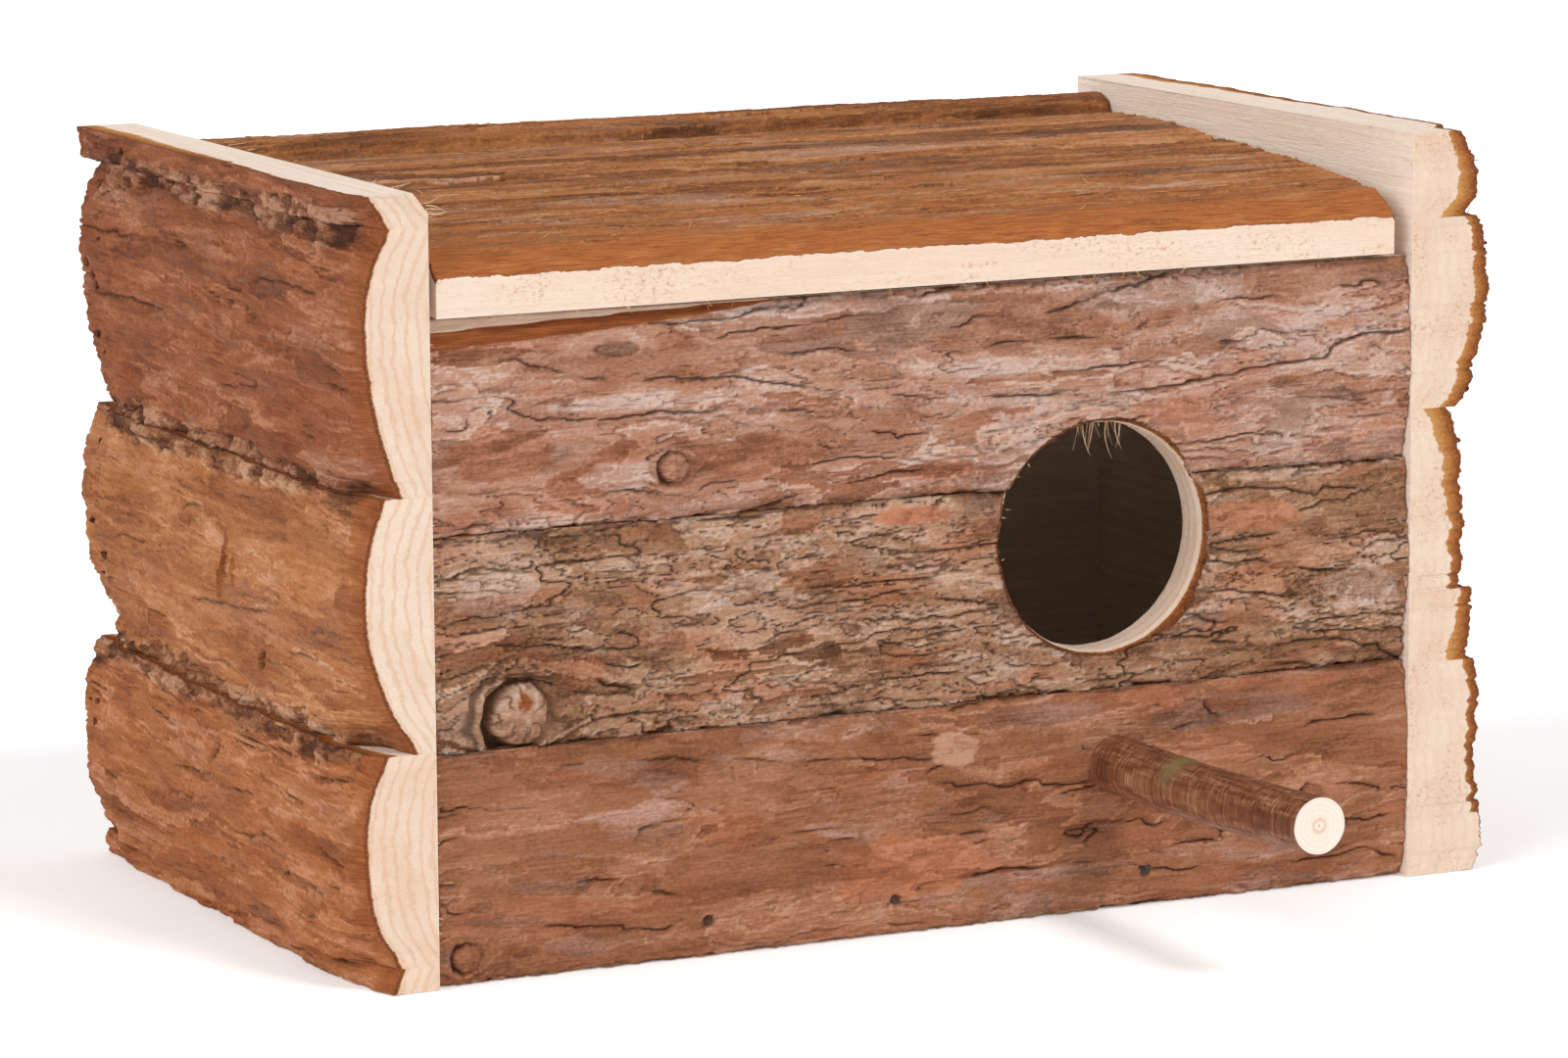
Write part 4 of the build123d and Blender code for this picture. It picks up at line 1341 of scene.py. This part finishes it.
def make_perch():
    low, high = (np.array(c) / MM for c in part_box("perch"))
    seat, tip = high[1], low[1]
    radius = (high[0] - low[0]) / 2
    x0, z0 = (low[0] + high[0]) / 2, low[2] + radius
    rise = (high[2] - low[2]) - 2 * radius
    rings, segments = 260, 120
    u = np.linspace(0, 1, rings)
    turn = np.linspace(0, 2 * np.pi, segments, endpoint=False)
    uu, tt = np.meshgrid(u, turn, indexing="ij")
    y = seat + (tip - seat) * uu
    out = np.abs(y - FRONT_Y) * (y < FRONT_Y)  # distance out from the front wall
    r = radius * (0.99 - 0.05 * uu) * (1 + 0.018 * noise(uu * 9, np.cos(tt) * 1.5, 500)
                                       + 0.012 * noise(uu * 30, np.sin(tt) * 3, 501))
    node_at = 22.0
    bud = np.exp(-((out - node_at) / 1.3) ** 2)
    r = r + 0.28 * bud * (0.6 + 0.4 * np.cos(tt - 1.9))
    r = r + 0.045 * noise(y / 0.55, np.cos(tt) * 2.2 + np.sin(tt) * 1.1, 502) * smooth(0, 3, out)
    r = np.minimum(r, radius)
    x = x0 + r * np.cos(tt) + 0.3 * np.sin(uu * math.pi)
    z = z0 + rise * uu**2 + r * np.sin(tt) - 0.15 * np.sin(uu * math.pi)
    r_inner = np.linspace(0.96, 0.02, 22)
    tip_x, tip_z = x0, z0 + rise
    cap_x = [tip_x + (x[-1] - tip_x) * k for k in r_inner]
    cap_z = [tip_z + (z[-1] - tip_z) * k for k in r_inner]
    cap_y = [tip + 0.05 * noise(np.cos(turn) * k * 7, np.sin(turn) * k * 7, 503) + 0.08 for k in r_inner]
    xs = np.concatenate([x, np.array(cap_x)])
    ys = np.concatenate([y, np.array(cap_y)])
    zs = np.concatenate([z, np.array(cap_z)])
    total = rings + len(r_inner)
    index = np.arange(total * segments).reshape(total, segments)
    around = np.roll(index, -1, axis=1)
    quads = np.stack([index[:-1], index[1:], around[1:], around[:-1]], axis=-1).reshape(-1, 4)
    faces = [tuple(q) for q in quads.tolist()] + [tuple(index[-1].tolist()), tuple(index[0][::-1].tolist())]
    mesh = bpy.data.meshes.new("perch")
    co = np.stack([xs, ys, zs], axis=-1).reshape(-1, 3)
    mesh.from_pydata([tuple(p) for p in (co * MM).tolist()], [], faces)
    facing_out(mesh)
    skin = np.ones((total, segments))
    skin[rings:] = 0
    skin[rings - 1] = 0.55
    fresh = np.zeros((total, segments))
    fresh[:rings] = 0.8 * np.exp(-((out - node_at - 2) / 2.6) ** 2) * smooth(0.2, 1.0, np.cos(tt - 1.9))
    depth = np.repeat(np.concatenate([np.full(rings, radius), r_inner * radius])[:, None], segments, axis=1)
    around_mm = np.cos(np.repeat(turn[None], total, axis=0)) * radius * 2
    set_values(mesh, "skin", skin.ravel())
    set_values(mesh, "fresh", fresh.ravel())
    set_vectors(mesh, "grain", np.stack([ys.ravel(), around_mm.ravel(), depth.ravel()], axis=1))
    piece = add_piece("perch_twig", mesh, perch_material(), "box", ["perch"])
    mesh.polygons.foreach_set("use_smooth", [True] * len(mesh.polygons))
    return piece


make_perch()


# --------------------------------------------------
# Stage, light and camera
# --------------------------------------------------


def stage():
    k = Nodes("pale_floor")
    place = object_coordinates(k)
    mottle = k.noise(place, 30.0, 2.0)
    shade = k.ramp(mottle, ((0.3, colour(253, 253, 253)), (0.7, colour(255, 255, 255))))
    material = k.finish(shade, 0.9)
    k.surface.inputs["Emission Color"].default_value = (1, 1, 1, 1)
    k.surface.inputs["Emission Strength"].default_value = 0.22
    size = 12.0
    mesh = bpy.data.meshes.new("floor")
    mesh.from_pydata([(-size, -size, 0), (size, -size, 0), (size, size, 0), (-size, size, 0)], [],
                     [(0, 1, 2, 3)])
    mesh.materials.append(material)
    floor = bpy.data.objects.new("floor", mesh)
    floor.location.z = -0.0002
    bpy.context.scene.collection.objects.link(floor)

    world = bpy.data.worlds.new("studio")
    world.use_nodes = True
    world.node_tree.nodes["Background"].inputs["Color"].default_value = (1, 1, 1, 1)
    world.node_tree.nodes["Background"].inputs["Strength"].default_value = 0.36
    bpy.context.scene.world = world


def sun(name, direction, angle, strength):
    """A wide soft light that lights the whole floor evenly."""
    data = bpy.data.lights.new(name, "SUN")
    data.energy, data.angle = strength * math.pi, math.radians(angle)
    light = bpy.data.objects.new(name, data)
    light.rotation_euler = Vector(direction).to_track_quat("Z", "Y").to_euler()
    bpy.context.scene.collection.objects.link(light)


def lights():
    sun("key", (0.30, -0.80, 0.85), 14, 0.42)
    sun("left", (-0.9, -0.22, 0.5), 50, 0.56)
    sun("top", (0.1, 0.3, 1.0), 60, 0.12)


CAMERA_PLACE = (-0.4894, -1.0064, 0.2451)
CAMERA_AZIMUTH, CAMERA_FALL, CAMERA_ROLL = -25.95, 9.40, -0.39
CAMERA_LENS, SENSOR = 148.9, 36.0


def camera():
    turn, fall, roll = (math.radians(v) for v in (CAMERA_AZIMUTH, CAMERA_FALL, CAMERA_ROLL))
    back = Vector((math.sin(turn) * math.cos(fall), -math.cos(turn) * math.cos(fall), math.sin(fall)))
    right = Vector((math.cos(turn), math.sin(turn), 0))
    up = back.cross(right)
    right, up = right * math.cos(roll) + up * math.sin(roll), up * math.cos(roll) - right * math.sin(roll)
    data = bpy.data.cameras.new("camera")
    data.lens, data.sensor_width = CAMERA_LENS, SENSOR
    eye = bpy.data.objects.new("camera", data)
    eye.matrix_world = Matrix((
        (right.x, up.x, back.x, CAMERA_PLACE[0]),
        (right.y, up.y, back.y, CAMERA_PLACE[1]),
        (right.z, up.z, back.z, CAMERA_PLACE[2]),
        (0, 0, 0, 1),
    ))
    bpy.context.scene.collection.objects.link(eye)
    bpy.context.scene.camera = eye
    bpy.context.scene.view_settings.view_transform = "Standard"


stage()
lights()
camera()
